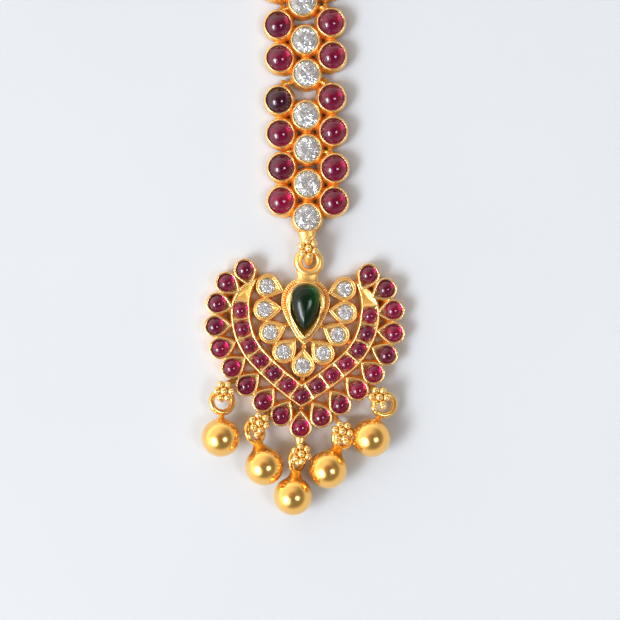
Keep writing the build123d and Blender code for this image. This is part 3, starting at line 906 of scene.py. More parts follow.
@dataclass(frozen=True)
class Brilliant:
    """A round brilliant: table, stars, kites and halves above the girdle, kites and halves below.

    Its radius, girdle and top are in millimetres. The rest are shares of its radius: how far out the
    corners of the table, of the stars and of the lower kites lie, how thick its edge is, how deep it
    is below that, and how uneven its pavilion is.
    """

    radius: float
    girdle: float
    top: float
    table: float = 0.56
    star: float = 0.78
    lower: float = 0.24
    edge: float = 0.03
    depth: float = 0.86
    spark: float = 0.07

    def corners(self, turn: float) -> Array:
        """Corners of the facets: 8 of the table, 8 of the stars, 16 above and 16 below the edge, 8 of
        the pavilion, and the middles of table and pavilion.

        The corners lie on circles 22.5 degrees apart. Each kite is flat: the crown's main plane
        passes through a table corner and a girdle point, z = top - slope (rho - table), and the
        pavilion's through the point of the stone and a girdle point, with rho the distance along
        the kite's own direction. A corner half a step to the side has rho = radius cos 22.5. The
        pavilion's lower corners are then moved up or down by a sine of their number, as much as the
        spark, so that no two of its facets mirror the same side of the room.

        Args:
            turn: how far the stone is turned about its axis, in radians.
        Returns:
            The corners, in the stone's own place.
        """
        half = math.pi / 8
        step, fine = angles(8, turn), angles(16, turn)
        rise = (self.top - self.girdle) / self.radius
        slope = rise / (1 - self.table)
        point_z = -self.edge - self.depth
        star_z = rise - slope * (self.star * math.cos(half) - self.table)
        uneven = self.spark * np.sin(7.3 * np.arange(8) + 11.0 * turn)
        lower_z = point_z + self.depth * self.lower * math.cos(half) + uneven
        rows = [
            level(round_points(step, self.table), rise),
            level(round_points(step + half, self.star), star_z),
            level(round_points(fine), 0.0),
            level(round_points(fine), -self.edge),
            level(round_points(step + half, self.lower), lower_z),
            np.array([[0, 0, rise], [0, 0, point_z]]),
        ]
        return np.concatenate(rows) * self.radius + [0, 0, self.girdle]

    def facets(self) -> Array:
        """The facets as rows of four corners, with -1 after a triangle's three.

        Returns:
            Eight facets of each kind, then the sixteen of the edge.
        """
        k = np.arange(8)
        after, before = (k + 1) % 8, (k - 1) % 8
        table, star, upper, under, low = 0, 8, 16, 32, 48
        middle, point, none = np.full(8, 56), np.full(8, 57), np.full(8, -1)
        here, beside, beyond = 2 * k, 2 * k + 1, (2 * k + 2) % 16
        kinds = [
            (middle, table + k, table + after, none),
            (table + k, star + k, table + after, none),
            (table + k, star + before, upper + here, star + k),
            (star + k, upper + here, upper + beside, none),
            (star + k, upper + beside, upper + beyond, none),
            (low + k, under + beside, under + here, none),
            (low + k, under + beyond, under + beside, none),
            (point, low + k, under + here, low + before),
        ]
        j = np.arange(16)
        next_j = (j + 1) % 16
        edge = np.stack([under + j, under + next_j, upper + next_j, upper + j], axis=1)
        return np.concatenate([np.stack(kind, axis=1) for kind in kinds] + [edge])

    def at(self, place: Placement, turn: float) -> Surface:
        """The stone at a place, with foil on its lowest corners.

        Args:
            place: the stone's axis, at the height of the metal's back.
            turn: how far it is turned about that axis, in radians.
        Returns:
            The faceted surface.
        """
        foil = np.concatenate([np.zeros(48), np.ones(8), [0.0, 1.0]])
        return Surface(self.corners(turn), self.facets(), foil).carried(place)


# ------------------------ settings

# how far a floor lies below the inner edge of its rim
FLOOR_DROP = 0.02


@dataclass(frozen=True)
class Setting:
    """A cup for a stone: a profile of inset, height and mark carried round it, then a round seat.

    Its skirt is how far its foot spreads. An oval cup is stretched along Y by that share, less and
    less from its outline to `oval_reach` inside it. The seat narrows by `taper` down to its floor.
    """

    outline: Outline
    profile: Array
    seat_radius: float
    seat_floor: float
    skirt: float
    taper: float = 0.97
    oval: float = 0.0
    oval_reach: float = 0.3
    skirt_top: float = 1.9
    # marks of the floor and the seat: painted shade that deepens into the seat
    seat_marks: Pair = (0.3, 0.9)

    def loops(self, way: Pair | None) -> Array:
        """The loops of the wall, in the cup's own place.

        The stretch is oval times (1 - inset / oval reach). The foot spreads by skirt times an eased
        share of the height, 0 at the skirt's top and 1 a millimetre below it, times an eased
        (cosine + 0.2) / 0.6 of the angle between the point's direction and the way.

        Args:
            way: the direction on whose side the foot spreads, or None for all round.
        Returns:
            The loops, of shape (rows, points, 3).
        """
        loops = self.outline.carried(self.profile[:, :2])
        stretch = self.oval * np.clip(1 - self.profile[:, 0] / self.oval_reach, 0, 1)
        loops[:, :, 1] *= 1 + stretch[:, None]
        around = unit(self.outline.points)
        side = np.ones(len(around)) if way is None else eased((around @ np.array(way) + 0.2) / 0.6)
        spread = self.skirt * eased(self.skirt_top - self.profile[:, 1])[:, None] * side
        loops[:, :, :2] += spread[:, :, None] * around
        return loops

    def at(self, place: Placement, way: Pair | None = None) -> Surface:
        """The cup at a place. Its floor runs from the wall to the seat's circle, then down.

        Args:
            place: the cup's axis, at the height of its back.
            way: the direction on whose side the foot spreads, or None for all round.
        Returns:
            The cup, closed below.
        """
        floor = self.profile[-1, 1] - FLOOR_DROP
        seat = self.outline.as_circle(self.seat_radius)
        inner = np.stack([level(seat, floor), level(self.taper * seat, self.seat_floor)])
        loops = place.carry(np.concatenate([self.loops(way), inner]))
        marks = np.append(self.profile[:, 2], self.seat_marks)
        ends = place.carry(np.array([[0, 0, self.profile[0, 1]], [0, 0, self.seat_floor]]))
        return stack(loops, marks, ends[0], ends[1])


# Rims: from the back up the outside, over the crest and down to the stone. A cell's rim starts at its
# crest, where the channel's skirt ends.
# columns: inset from the outline, height, mark. The mark paints the light: 0 a pale painted highlight on the
# crests, up to about 1 painted shade down the walls, in grooves and into the seat, and up to 2 patina
# darkened by painted shade at the foot.
THIN_RIM = np.array([
    [0.16, 0.02, 0.4], [0.06, 0.10, 1.2], [0.03, 0.45, 1.1], [0.03, 0.90, 1.0], [0.02, 1.30, 0.7],
    [0.00, 1.65, 0.3], [-0.01, 1.95, 0.1], [-0.01, 2.16, 0.0], [0.01, 2.33, 0.0], [0.05, 2.40, 0.0],
    [0.11, 2.42, 0.0], [0.20, 2.43, 0.0], [0.29, 2.42, 0.0], [0.34, 2.39, 0.0], [0.365, 2.30, 0.0],
    [0.38, 2.16, 0.2],
])
DOUBLE_RIM = np.array([
    [0.14, 0.02, 0.4], [0.03, 0.10, 1.2], [0.00, 0.45, 1.1], [0.00, 0.90, 1.0], [0.00, 1.30, 0.8],
    [-0.01, 1.65, 0.5], [-0.01, 1.95, 0.2], [0.01, 2.20, 0.0], [0.05, 2.36, 0.0], [0.11, 2.42, 0.0],
    [0.18, 2.40, 0.0], [0.22, 2.29, 0.3], [0.26, 2.23, 0.8], [0.30, 2.29, 0.3], [0.35, 2.39, 0.0],
    [0.44, 2.44, 0.0], [0.54, 2.43, 0.0], [0.60, 2.36, 0.0], [0.64, 2.24, 0.4], [0.66, 2.10, 0.8],
])
BEZEL_RIM = np.array([
    [0.14, 0.02, 0.4], [0.02, 0.10, 2.0], [-0.03, 0.45, 1.8], [-0.05, 1.00, 1.0], [-0.04, 1.50, 0.6],
    [0.00, 1.85, 0.4], [0.06, 2.12, 0.25], [0.12, 2.31, 0.1], [0.18, 2.43, 0.0], [0.24, 2.49, 0.0],
    [0.30, 2.51, 0.0], [0.36, 2.48, 0.0], [0.405, 2.40, 0.2], [0.43, 2.25, 0.7], [0.44, 1.60, 1.0],
])
CELL_RIM = np.array([
    [0.00, 2.41, 0.0], [0.07, 2.40, 0.0], [0.14, 2.36, 0.0], [0.19, 2.30, 0.0], [0.22, 2.22, 0.1],
    [0.25, 2.17, 0.15],
])
CHANNEL_SKIRT = np.array([
    [-0.26, 0.02, 0.4], [-0.38, 0.08, 1.2], [-0.44, 0.45, 1.1], [-0.40, 0.95, 1.0], [-0.32, 1.40, 0.8],
    [-0.25, 1.75, 0.6], [-0.20, 2.02, 0.35], [-0.17, 2.20, 0.1], [-0.12, 2.33, 0.0], [-0.06, 2.40, 0.0],
    [0.00, 2.41, 0.0],
])


@dataclass
class EdgeAndWhites:
    """The drop-shaped collets of the edge and of the white row, with their stones."""

    edge: Pear = Pear(1.78, 2.78, 8.0)
    white: Pear = Pear(1.87, 2.75, 8.0)
    edge_stone: Cabochon = Cabochon(1.40, 1.2, 2.1, 3.1)
    white_stone: Brilliant = Brilliant(1.2, 2.1, 2.6)
    solder_height: float = 1.5
    solder_sizes: Triple = (0.35, 0.6, 0.7)
    tone_seed: int = 11
    turn_seed: int = 5

    def collets(self, name: str, cup: Setting, row: Row, way: Pair | None) -> Piece:
        """A row's collets and the solder between them.

        Args:
            name: the piece's name.
            cup: the collet.
            row: where the collets sit.
            way: the direction on whose side their feet spread, or None for all round.
        Returns:
            The piece.
        """
        piece = Piece(name, Slot.GOLD, ("pendant_frame",), wobble=0.018)
        piece.parts = [cup.at(place, way) for place in row.places()]
        piece.parts += [
            solder(first.origin, second.origin, self.solder_height, self.solder_sizes)
            for first, second in row.neighbours()
        ]
        return piece

    def build(self) -> Dressed:
        """The collets, the solder between them and the stones.

        Returns:
            The pieces with their finishes.
        """
        edge_cup = Setting(self.edge.outline(), THIN_RIM, seat_radius=1.40, seat_floor=1.15, skirt=0.36)
        white_cup = Setting(
            self.white.outline(), DOUBLE_RIM, seat_radius=1.22, seat_floor=0.9, skirt=0.2, taper=0.3
        )
        edge = self.collets("edge_collets", edge_cup, OUTER_ROW, (0.0, 1.0))
        white = self.collets("white_collets", white_cup, WHITE_ROW, None)
        places = OUTER_ROW.places()
        tones = usual_tones(self.tone_seed, len(places))
        tones[0] = RubyTone.BRIGHT.value
        rubies = Piece("edge_rubies", Slot.RED, ("outer_rubies",))
        rubies.parts = [self.edge_stone.at(place, tone) for place, tone in zip(places, tones)]
        places = WHITE_ROW.places()
        turns = usual_turns(self.turn_seed, len(places))
        whites = Piece("white_row_stones", Slot.WHITE, ("pendant_white_stones",), smooth=False)
        whites.parts = [self.white_stone.at(place, turn) for place, turn in zip(places, turns)]
        return [(edge, GOLD), (white, GOLD), (rubies, RUBY), (whites, CLEAR)]


@dataclass(frozen=True)
class Course:
    """An open line of the plan that can be cut at lengths along it."""

    points: Array

    def lengths(self) -> Array:
        """Distance of each point along the line."""
        steps = np.linalg.norm(np.diff(self.points, axis=0), axis=1)
        return np.concatenate([[0.0], np.cumsum(steps)])

    def between(self, start: float, end: float, count: int) -> Array:
        """Evenly spaced points from one length to another.

        Args:
            start, end: the two lengths.
            count: how many points there are.
        Returns:
            The points.
        """
        along = np.linspace(start, end, count)
        lengths = self.lengths()
        return np.stack([np.interp(along, lengths, self.points[:, k]) for k in range(2)], axis=1)

    def crossing(self, point: Array, heading: float, near: float = 4.0) -> float:
        """Length at which the line passes the wall that stands across a heading at a point.

        Args:
            point: where the wall stands.
            heading: the heading that it stands across, in radians.
            near: how far from the point the line may pass.
        Returns:
            The length.
        """
        ahead = (self.points - point) @ round_points(heading)
        is_near = np.linalg.norm(self.points - point, axis=1) < near
        index = int(np.argmax((ahead[1:] >= 0) & (ahead[:-1] < 0) & is_near[1:]))
        share = -ahead[index] / (ahead[index + 1] - ahead[index])
        lengths = self.lengths()
        return float(lengths[index] + share * (lengths[index + 1] - lengths[index]))


@dataclass
class HeartChannel:
    """The heart-shaped channel: two walls, cross walls, round seats and an empty cell at each horn."""

    half_width: float = 1.38
    horn_tip: Pair = (8.2, 2.85)
    horn_belly: Pair = (9.05, 0.35)
    stone: Cabochon = Cabochon(1.17, 1.2, 2.18, 3.1)
    seat_radius: float = 1.18
    seat_floor: float = 1.15
    seat_taper: float = 0.97
    tone_seed: int = 23
    fine: int = 240
    cell_steps: int = 22
    end_steps: int = 14
    skirt_steps: int = 110

    def wall(self, side: int) -> Course:
        """The middle line of one wall of the right half, from the pendant's axis to the horn's tip.

        Args:
            side: 1 for the outer wall, -1 for the inner one.
        Returns:
            The line.
        """
        outward = side * self.half_width
        end = sum(length for _, length in CHANNEL_ROW.arcs)
        lengths = np.linspace(CHANNEL_ROW.axis_length(outward), end, self.fine)
        points, headings = CHANNEL_ROW.at(lengths, outward)
        points[0, 0] = 0.0
        horn = self.leaving_arc(points[-1], headings[-1]) if side > 0 else self.arc_through(points[-1])
        return Course(np.concatenate([points, horn[1:]]))

    def leaving_arc(self, start: Array, heading: float) -> Array:
        """An arc that leaves a point along a heading and ends at the horn's tip.

        With the tip a ahead and b to the left, its radius is (a squared + b squared) / (2 b) and it
        turns by twice the angle of the tip.

        Args:
            start: the point.
            heading: the heading in radians.
        Returns:
            Points of the arc.
        """
        ahead = round_points(heading)
        left = np.array([-ahead[1], ahead[0]])
        step = np.array(self.horn_tip) - start
        a, b = step @ ahead, step @ left
        radius = (a * a + b * b) / (2 * b)
        angle = np.linspace(0, 2 * math.atan2(b, a), self.fine)[:, None]
        return start + radius * (np.sin(angle) * ahead + (1 - np.cos(angle)) * left)

    def arc_through(self, start: Array) -> Array:
        """The arc from a point through the horn's belly to its tip.

        Its centre is the point that is as far from all three.

        Args:
            start: the point.
        Returns:
            Points of the arc.
        """
        three = np.stack([start, self.horn_belly, self.horn_tip])
        squares = (three ** 2).sum(1)
        centre = np.linalg.solve(2 * (three[1:] - three[:1]), squares[1:] - squares[0])
        angle = np.unwrap(np.arctan2(three[:, 1] - centre[1], three[:, 0] - centre[0]))
        angle = np.linspace(angle[0], angle[2], self.fine)
        return centre + round_points(angle, np.linalg.norm(start - centre))

    def cuts(self, course: Course) -> list[float]:
        """Lengths of a wall at which the cross walls meet it, and last its end.

        Args:
            course: the wall.
        Returns:
            The lengths.
        """
        points, headings = CHANNEL_ROW.at(CHANNEL_ROW.pitch * (np.arange(CHANNEL_ROW.count + 1) + 0.5))
        crossings = [course.crossing(point, heading) for point, heading in zip(points, headings)]
        return crossings + [float(course.lengths()[-1])]

    def cells(self) -> list[Outline]:
        """Outlines of the cells of the right half after the lowest, and last the horn's.

        Returns:
            The outlines.
        """
        outer, inner = self.wall(1), self.wall(-1)
        outer_cuts, inner_cuts = self.cuts(outer), self.cuts(inner)
        found = []
        for k in range(CHANNEL_ROW.count + 1):
            out = outer.between(outer_cuts[k], outer_cuts[k + 1], self.cell_steps)
            back = inner.between(inner_cuts[k], inner_cuts[k + 1], self.cell_steps)[::-1]
            far = np.linspace(out[-1], back[0], self.end_steps)
            near = np.linspace(back[-1], out[0], self.end_steps)
            is_horn = k == CHANNEL_ROW.count
            parts = [out, back[1:], near[1:-1]] if is_horn else [out, far[1:-1], back, near[1:-1]]
            found.append(Outline(np.concatenate(parts)))
        return found

    def lowest_cell(self) -> Outline:
        """Outline of the cell on the axis, with a corner below and a notch above.

        Returns:
            The outline.
        """
        outer, inner = self.wall(1), self.wall(-1)
        out = outer.between(0, self.cuts(outer)[0], self.end_steps)
        back = inner.between(0, self.cuts(inner)[0], self.end_steps)[::-1]
        side = np.linspace(out[-1], back[0], self.end_steps)
        return Outline.from_right(np.concatenate([out, side[1:-1], back]))

    def stone_cell(self, outline: Outline, place: Placement) -> Surface:
        """A cell that holds a stone: its rim, its floor and a round seat.

        Args:
            outline: the cell's outline.
            place: where the stone sits.
        Returns:
            The cell.
        """
        centre = place.origin[:2]
        rim = outline.carried(CELL_RIM[:, :2])
        seat = outline.moved(-centre).as_circle(self.seat_radius)
        floor = CELL_RIM[-1, 1] - FLOOR_DROP
        inner = [level(centre + seat, floor), level(centre + self.seat_taper * seat, self.seat_floor)]
        # the floor and seat take marks 0.1 and 0.9: painted shade that deepens into the seat
        marks = np.append(CELL_RIM[:, 2], [0.1, 0.9])
        return stack(np.concatenate([rim, inner]), marks, None, np.array([*centre, self.seat_floor]))

    def empty_cell(self, outline: Outline) -> Surface:
        """An empty cell: its rim, and a floor that sinks towards its middle in three steps.

        Args:
            outline: the cell's outline.
        Returns:
            The cell.
        """
        rim = outline.carried(CELL_RIM[:, :2])
        middle = level(rim[-1, :, :2].mean(0), CELL_RIM[-1, 1])
        # columns: share of the rim's size, depth, mark; the mark is painted shade on the sinking floor
        floor = np.array([[0.7, 0.05, 0.7], [0.35, 0.18, 0.6]])
        deepest = 0.25
        inner = middle + floor[:, :1, None] * (rim[-1] - middle)
        inner[:, :, 2] -= floor[:, 1:2]
        marks = np.append(CELL_RIM[:, 2], floor[:, 2])
        return stack(np.concatenate([rim, inner]), marks, None, middle - deepest * Z_AXIS)

    def skirt(self) -> list[Surface]:
        """The outside of both walls, and the plate under the channel between them.

        Returns:
            The outside, and the two halves of the plate.
        """
        count = self.skirt_steps
        outer, inner = self.wall(1), self.wall(-1)
        out = outer.between(0, outer.lengths()[-1], count)
        back = inner.between(0, inner.lengths()[-1], count)[::-1]
        outline = Outline.from_right(np.concatenate([out, back[1:]]))
        loops = outline.carried(CHANNEL_SKIRT[:, :2], most=1.8)
        plate = np.stack([loops[0, :count], loops[0, count - 1:2 * count - 1][::-1]])
        mirrored = plate[::-1] * [-1, 1, 1]
        # the plate under the channel takes mark 0.6 of painted shade
        halves = [sheet(half[::-1], mark=0.6) for half in (plate, mirrored)]
        return [stack(loops, CHANNEL_SKIRT[:, 2], None, None)] + halves

    def build(self) -> Dressed:
        """The channel and its stones.

        Returns:
            The pieces with their finishes.
        """
        places = CHANNEL_ROW.places()
        middle, right, left = places[0], places[1:CHANNEL_ROW.count + 1], places[CHANNEL_ROW.count + 1:]
        channel = Piece("heart_channel", Slot.GOLD, ("pendant_frame",), wobble=0.016)
        channel.parts = self.skirt() + [self.stone_cell(self.lowest_cell(), middle)]
        *stone_cells, horn = self.cells()
        for cell, right_seat, left_seat in zip(stone_cells, right, left):
            channel.parts.append(self.stone_cell(cell, right_seat))
            channel.parts.append(self.stone_cell(cell.mirrored(), left_seat))
        channel.parts += [self.empty_cell(horn), self.empty_cell(horn.mirrored())]
        tones = usual_tones(self.tone_seed, len(places))
        rubies = Piece("channel_cabochons", Slot.RED, ("channel_rubies",))
        rubies.parts = [self.stone.at(place, tone) for place, tone in zip(places, tones)]
        return [(channel, GOLD), (rubies, RUBY)]


@dataclass
class EmeraldCollet:
    """The green pear stone, its sloping bezel and the beaded border round its foot."""

    foot: Pear = Pear(3.93, 7.1, 16.0)
    foot_centre: float = -0.24
    stone: Pear = Pear(2.3, 5.32, 7.3)
    stone_centre: float = 0.26
    stone_foot: float = 1.9
    stone_girdle: float = 3.0
    stone_top: float = 4.8
    stone_middle: Pair = (0.0, 0.35)
    stone_fullness: float = 2.2
    painted_glow_way: Pair = (-0.77, -0.64)
    bead_radius: float = 0.29
    bead_inset: float = 0.40
    bead_height: float = 2.05
    bead_count: int = 74
    bead_steps: int = 8
    bead_pinch: float = 0.2

    def border(self, place: Placement) -> Surface:
        """The line of beads: a wire carried round the foot, pinched between one bead and the next.

        The wire's radius is the bead's times pinch + (1 - pinch) |sin|^(1/2), with half a wave to
        each bead. Its mark runs up to 2 in each pinch, as painted shade between the beads.

        Args:
            place: the foot's place.
        Returns:
            The border.
        """
        line = self.foot.outline(240, 90).inset(np.array([self.bead_inset]))[0]
        closed = Course(np.concatenate([line, line[:1]]))
        samples = self.bead_count * self.bead_steps
        path = closed.between(0, closed.lengths()[-1], samples + 1)[:-1]
        ahead = unit(np.roll(path, -1, axis=0) - np.roll(path, 1, axis=0))
        outward = np.stack([ahead[:, 1], -ahead[:, 0]], axis=1)
        root = np.sqrt(np.abs(np.sin(math.pi * np.arange(samples) / self.bead_steps)))
        size = self.bead_radius * (self.bead_pinch + (1 - self.bead_pinch) * root)
        b = angles(8)[:, None]
        flat = path + (np.cos(b) * size)[..., None] * outward
        points = level(flat, self.bead_height + np.sin(b) * size)
        # painted shade: the mark rises to 2 in the pinches between beads
        return sheet(place.carry(points), closed=True).marked(np.tile(2.0 - 2.0 * root, len(b)))

    def setting(self, place: Placement) -> Surface:
        """The foot's wall, its edge and the beads' groove, then the bezel with its two crests.

        Args:
            place: the foot's place.
        Returns:
            The setting.
        """
        # columns: inset from the foot's outline, height, mark; the mark is painted shade in the beads' groove
        # and a painted highlight on the crests
        wall = np.array([
            [0.14, 0.02, 0.6], [0.03, 0.10, 0.6], [0.00, 0.90, 0.5], [-0.01, 1.70, 0.2], [0.02, 2.02, 0.0],
            [0.08, 2.14, 0.0], [0.16, 2.14, 0.1], [0.22, 2.02, 0.8], [0.42, 1.96, 1.0], [0.62, 2.02, 1.0],
            [0.70, 2.35, 0.6], [0.76, 2.80, 0.2], [0.82, 3.08, 0.0], [0.90, 3.20, 0.0], [1.00, 3.20, 0.0],
        ])
        # columns: inset from the stone's outline, height, mark; the mark is painted shade down the bezel's
        # inner slope
        slope = np.array([
            [-0.50, 3.10, 0.4], [-0.38, 3.08, 0.4], [-0.27, 3.17, 0.0], [-0.16, 3.20, 0.0],
            [-0.08, 3.15, 0.1], [-0.02, 3.02, 0.5], [0.02, 2.40, 1.0],
        ])
        inner = self.stone.outline().moved(np.array([0, self.stone_centre - self.foot_centre]))
        loops = np.concatenate([self.foot.outline().carried(wall[:, :2]), inner.carried(slope[:, :2])])
        loops = place.carry(loops)
        marks = np.concatenate([wall[:, 2], slope[:, 2]])
        return stack(loops, marks, loops[0].mean(0), loops[-1].mean(0))

    def gem(self, place: Placement) -> Surface:
        """The stone: its outline drawn in towards a middle point as it rises, and rounder higher up.

        With s the share of the outline's size, the height is girdle + rise (1 - s^2.2)^(1/2), and
        each point is s times the outline's and a circle's point, mixed by the square root of s. Its
        colour has a painted glow, paler green on one side: by an eased 2 cosine - 1 of the angle to the
        glow's way, times s^4.

        Args:
            place: the stone's place.
        Returns:
            The stone.
        """
        middle = np.array(self.stone_middle)
        steps = self.stone.outline(60, 18).points - middle
        above = np.cos(np.linspace(0, math.pi / 2, 13)[1:-1])
        share = np.concatenate([[0.97, 1.0, 1.0], above])
        rise = (self.stone_top - self.stone_girdle) * np.sqrt(1 - above ** self.stone_fullness)
        below = [self.stone_foot, self.stone_foot + 0.1, self.stone_girdle]
        height = np.concatenate([below, self.stone_girdle + rise])
        share = share[:, None, None]
        circle = self.stone.radius * unit(steps)
        loops = level(middle + share * (circle + np.sqrt(share) * (steps - circle)), height[:, None])
        ends = place.carry(np.array([[*middle, self.stone_foot], [*middle, self.stone_top]]))
        # painted glow: the stone turns paler green towards one side
        paler = eased(unit(steps) @ self.painted_glow_way * 2 - 1) * share[:, :, 0] ** 4
        made = stack(place.carry(loops), np.zeros(len(loops)), ends[0], ends[1])
        return made.marked(np.concatenate([paler.ravel(), [0.0, 0.0]]))

    def build(self) -> Dressed:
        """The collet with its border, and the stone.

        Returns:
            The pieces with their finishes.
        """
        foot = Placement.flat(0.0, self.foot_centre, math.pi)
        seat = Placement.flat(0.0, self.stone_centre, math.pi)
        collet = Piece("emerald_collet", Slot.GOLD, ("pendant_frame",), wobble=0.015)
        collet.parts = [self.setting(foot), self.border(foot)]
        gem = Piece("emerald_stone", Slot.GREEN, ("emerald",))
        gem.parts = [self.gem(seat)]
        return [(collet, GOLD), (gem, EMERALD)]


# ------------------------ rosettes, loops and drops


@dataclass(frozen=True)
class Rosette:
    """Seven granules soldered on a small plate, with extra ones beside them at steps across and up.

    `plate` is the height of the plate's under side, and `phase` turns the six outer granules, in
    degrees, on their circle.
    """

    x: float
    y: float
    plate: float
    phase: float
    extra: tuple[Pair, ...] = ()
    granule: float = 0.6
    circle: float = 1.18
    plate_radius: float = 1.15
    plate_thickness: float = 0.45
    lift: float = 0.3
    extra_drop: float = 0.2

    def surfaces(self) -> list[Surface]:
        """The plate and the granules, six round one.

        Returns:
            Their surfaces.
        """
        low, high, wide = self.plate, self.plate + self.plate_thickness, self.plate_radius
        # columns: radius, height, mark; the mark deepens towards the plate's top as painted shade, with
        # patina, in the gaps between granules
        edge = np.array([
            [wide - 0.15, low, 0.8], [wide, low + 0.12, 1.0], [wide, high - 0.12, 1.2],
            [wide - 0.15, high, 1.5],
        ])
        found = [turned(edge, Placement.flat(self.x, self.y), 28, low, high)]
        here = np.array([self.x, self.y])
        for step in round_points(angles(6, math.radians(self.phase)), self.circle):
            found.append(ball(level(here + step, high), self.granule, mark=0.05))
        for step in self.extra:
            # the lower extra granules take a little more painted shade
            found.append(ball(level(here + step, high - self.extra_drop), self.granule, mark=0.1))
        found.append(ball(level(here, high + self.lift), self.granule))
        return found


@dataclass(frozen=True)
class BallDrop:
    """A polished ball with its neck and ring, and the loop and rosette that carry it.

    The ring's centre stands `ring_height` up and `reach` from the ball's, which lies along `aim` in
    the plan from it. Its plane leans by `tilt`. Both angles are in degrees. The rosette stands
    `pitches` along the edge row on one `side`, or on the pendant's axis where the side is 0, moved
    by `shift`, and `plate`, `phase` and `extra` are its own.
    """

    name: str
    aim: float
    tilt: float
    ring_height: float
    pitches: float
    side: int
    plate: float
    phase: float
    shift: Pair
    extra: tuple[Pair, ...] = ()
    neck: float = 0.8
    fillet: float = 1.5
    ball_radius: float = 3.08
    ring_radius: float = 1.74
    ring_wire: float = 0.5
    reach: float = 5.75
    loop_drop: float = 0.3
    loop_radius: float = 1.2
    loop_wire: float = 0.4
    arm_width: float = 0.8
    arm_low: float = 1.1
    arm_high: float = 2.0
    post_past: float = 0.2
    rosette_out: float = 3.3
    root_out: float = 0.9
    axis_spot: Pair = (0.25, -24.45)
    axis_root: Pair = (0.0, -22.55)

    def ball_centre(self) -> Array:
        """Centre of the ball: the sphere through the node's points that lie farthest down the jewel.

        A sphere's points satisfy |p|^2 = 2 c . p + (r^2 - |c|^2), which is linear in its centre c.

        Returns:
            The centre.
        """
        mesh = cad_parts[self.name].data
        points = np.zeros(len(mesh.vertices) * 3, np.float32)
        mesh.vertices.foreach_get("co", points)
        points = points.reshape(-1, 3).astype(float) / MM
        points = points[points[:, 1] < points[:, 1].min() + self.ball_radius]
        system = np.concatenate([2 * points, np.ones((len(points), 1))], axis=1)
        return np.linalg.lstsq(system, (points ** 2).sum(1), rcond=None)[0][:3]

    def aim_direction(self) -> Array:
        """Direction from the ring's centre to the ball's.

        Returns:
            The direction, of length one.
        """
        rise = math.asin((self.ball_radius - self.ring_height) / self.reach)
        return level(round_points(math.radians(self.aim), math.cos(rise)), math.sin(rise))

    def ring_place(self) -> Placement:
        """The ring's plane: X away from the ball, Z along the ring's axis.

        Returns:
            The place.
        """
        aim = self.aim_direction()
        flat = unit(np.cross(Z_AXIS, aim))
        tilt = math.radians(self.tilt)
        across = flat * math.cos(tilt) - np.cross(aim, flat) * math.sin(tilt)
        return Placement.facing(self.ball_centre() - self.reach * aim, np.cross(aim, across), -aim)

    def beside_row(self, outward: float, on_axis: Pair) -> Array:
        """A point beside the edge row, or on the pendant's axis where the side is 0.

        Args:
            outward: how far out from the row it lies.
            on_axis: the point for a side of 0.
        Returns:
            The point in the plan.
        """
        point, _ = OUTER_ROW.at(OUTER_ROW.pitch * self.pitches, outward)
        return point * [self.side, 1] if self.side else np.array(on_axis)

    def build_drop(self) -> Piece:
        """The ball, drawn out into its neck by a fillet, and the ring.

        Returns:
            The piece.
        """
        place = self.ring_place()
        axis = Placement.facing(self.ball_centre(), -self.aim_direction(), Z_AXIS)
        radius, fillet = self.ball_radius, self.fillet
        high = math.sqrt((radius + fillet) ** 2 - (self.neck + fillet) ** 2)
        meet = math.asin((self.neck + fillet) / (radius + fillet))
        polar = np.linspace(math.pi, meet, 44)[1:]
        sphere = radius * np.stack([np.sin(polar), np.cos(polar)], axis=1)
        bend = np.linspace(math.pi / 2 - meet, 0, 8)[1:]
        hollow = np.stack([self.neck + fillet * (1 - np.cos(bend)), high - fillet * np.sin(bend)], axis=1)
        neck = np.array([[self.neck, self.reach - self.ring_radius]])
        # the fillet and neck take mark 0.9: painted shade in the hollow under the ring
        mark = np.repeat([0.0, 0.9], [len(sphere), len(hollow) + 1])
        profile = np.column_stack([np.concatenate([sphere, hollow, neck]), mark])
        piece = Piece(f"{self.name}_ball", Slot.POLISHED, (self.name,))
        piece.parts = [
            turned(profile, axis, 72, -radius, profile[-1, 1]), ring(place, self.ring_radius, self.ring_wire),
        ]
        return piece

    def build_carrier(self) -> Piece:
        """The loop through the ring, its arm and post, and the rosette above it.

        The loop goes round the point of the ring that lies nearest to the rosette in the plan.

        Returns:
            The piece.
        """
        place = self.ring_place()
        outward = level(round_points(angles(360)), 0.0) @ place.axes
        points = place.origin + self.ring_radius * outward
        spot = self.beside_row(self.rosette_out, self.axis_spot) + self.shift
        root = self.beside_row(self.root_out, self.axis_root)
        nearest = int(np.argmin(np.linalg.norm(points[:, :2] - spot, axis=1)))
        point = points[nearest]
        run = unit(np.cross(place.axes[2], outward[nearest]) * IN_PLAN)
        toward = np.cross(Z_AXIS, run)
        toward = toward * (1 if toward[:2] @ (root - point[:2]) > 0 else -1)
        end = point + self.loop_radius * toward
        middle = point - self.loop_drop * toward
        loop = ring(Placement.facing(middle, run, toward), self.loop_radius, self.loop_wire, 48, 14)
        low, high = point[2] + self.loop_radius, self.plate + self.post_past
        post = np.array([[self.loop_wire, low, 0.8], [self.loop_wire, high, 0.8]])
        piece = Piece(f"{self.name}_rosette", Slot.GOLD, ("pendant_frame",), wobble=0.02)
        # painted shade: the loop takes mark 0.3, the post 0.8, and the arm 1.7, patina darkened by painted
        # shade low under the rosette
        piece.parts = [
            loop.marked(0.3),
            bar(root, end[:2], self.arm_width, self.arm_low, self.arm_high, 1.7),
            turned(post, Placement.flat(point[0], point[1]), 16, low, high),
            *Rosette(*spot, self.plate, self.phase, self.extra).surfaces(),
        ]
        return piece


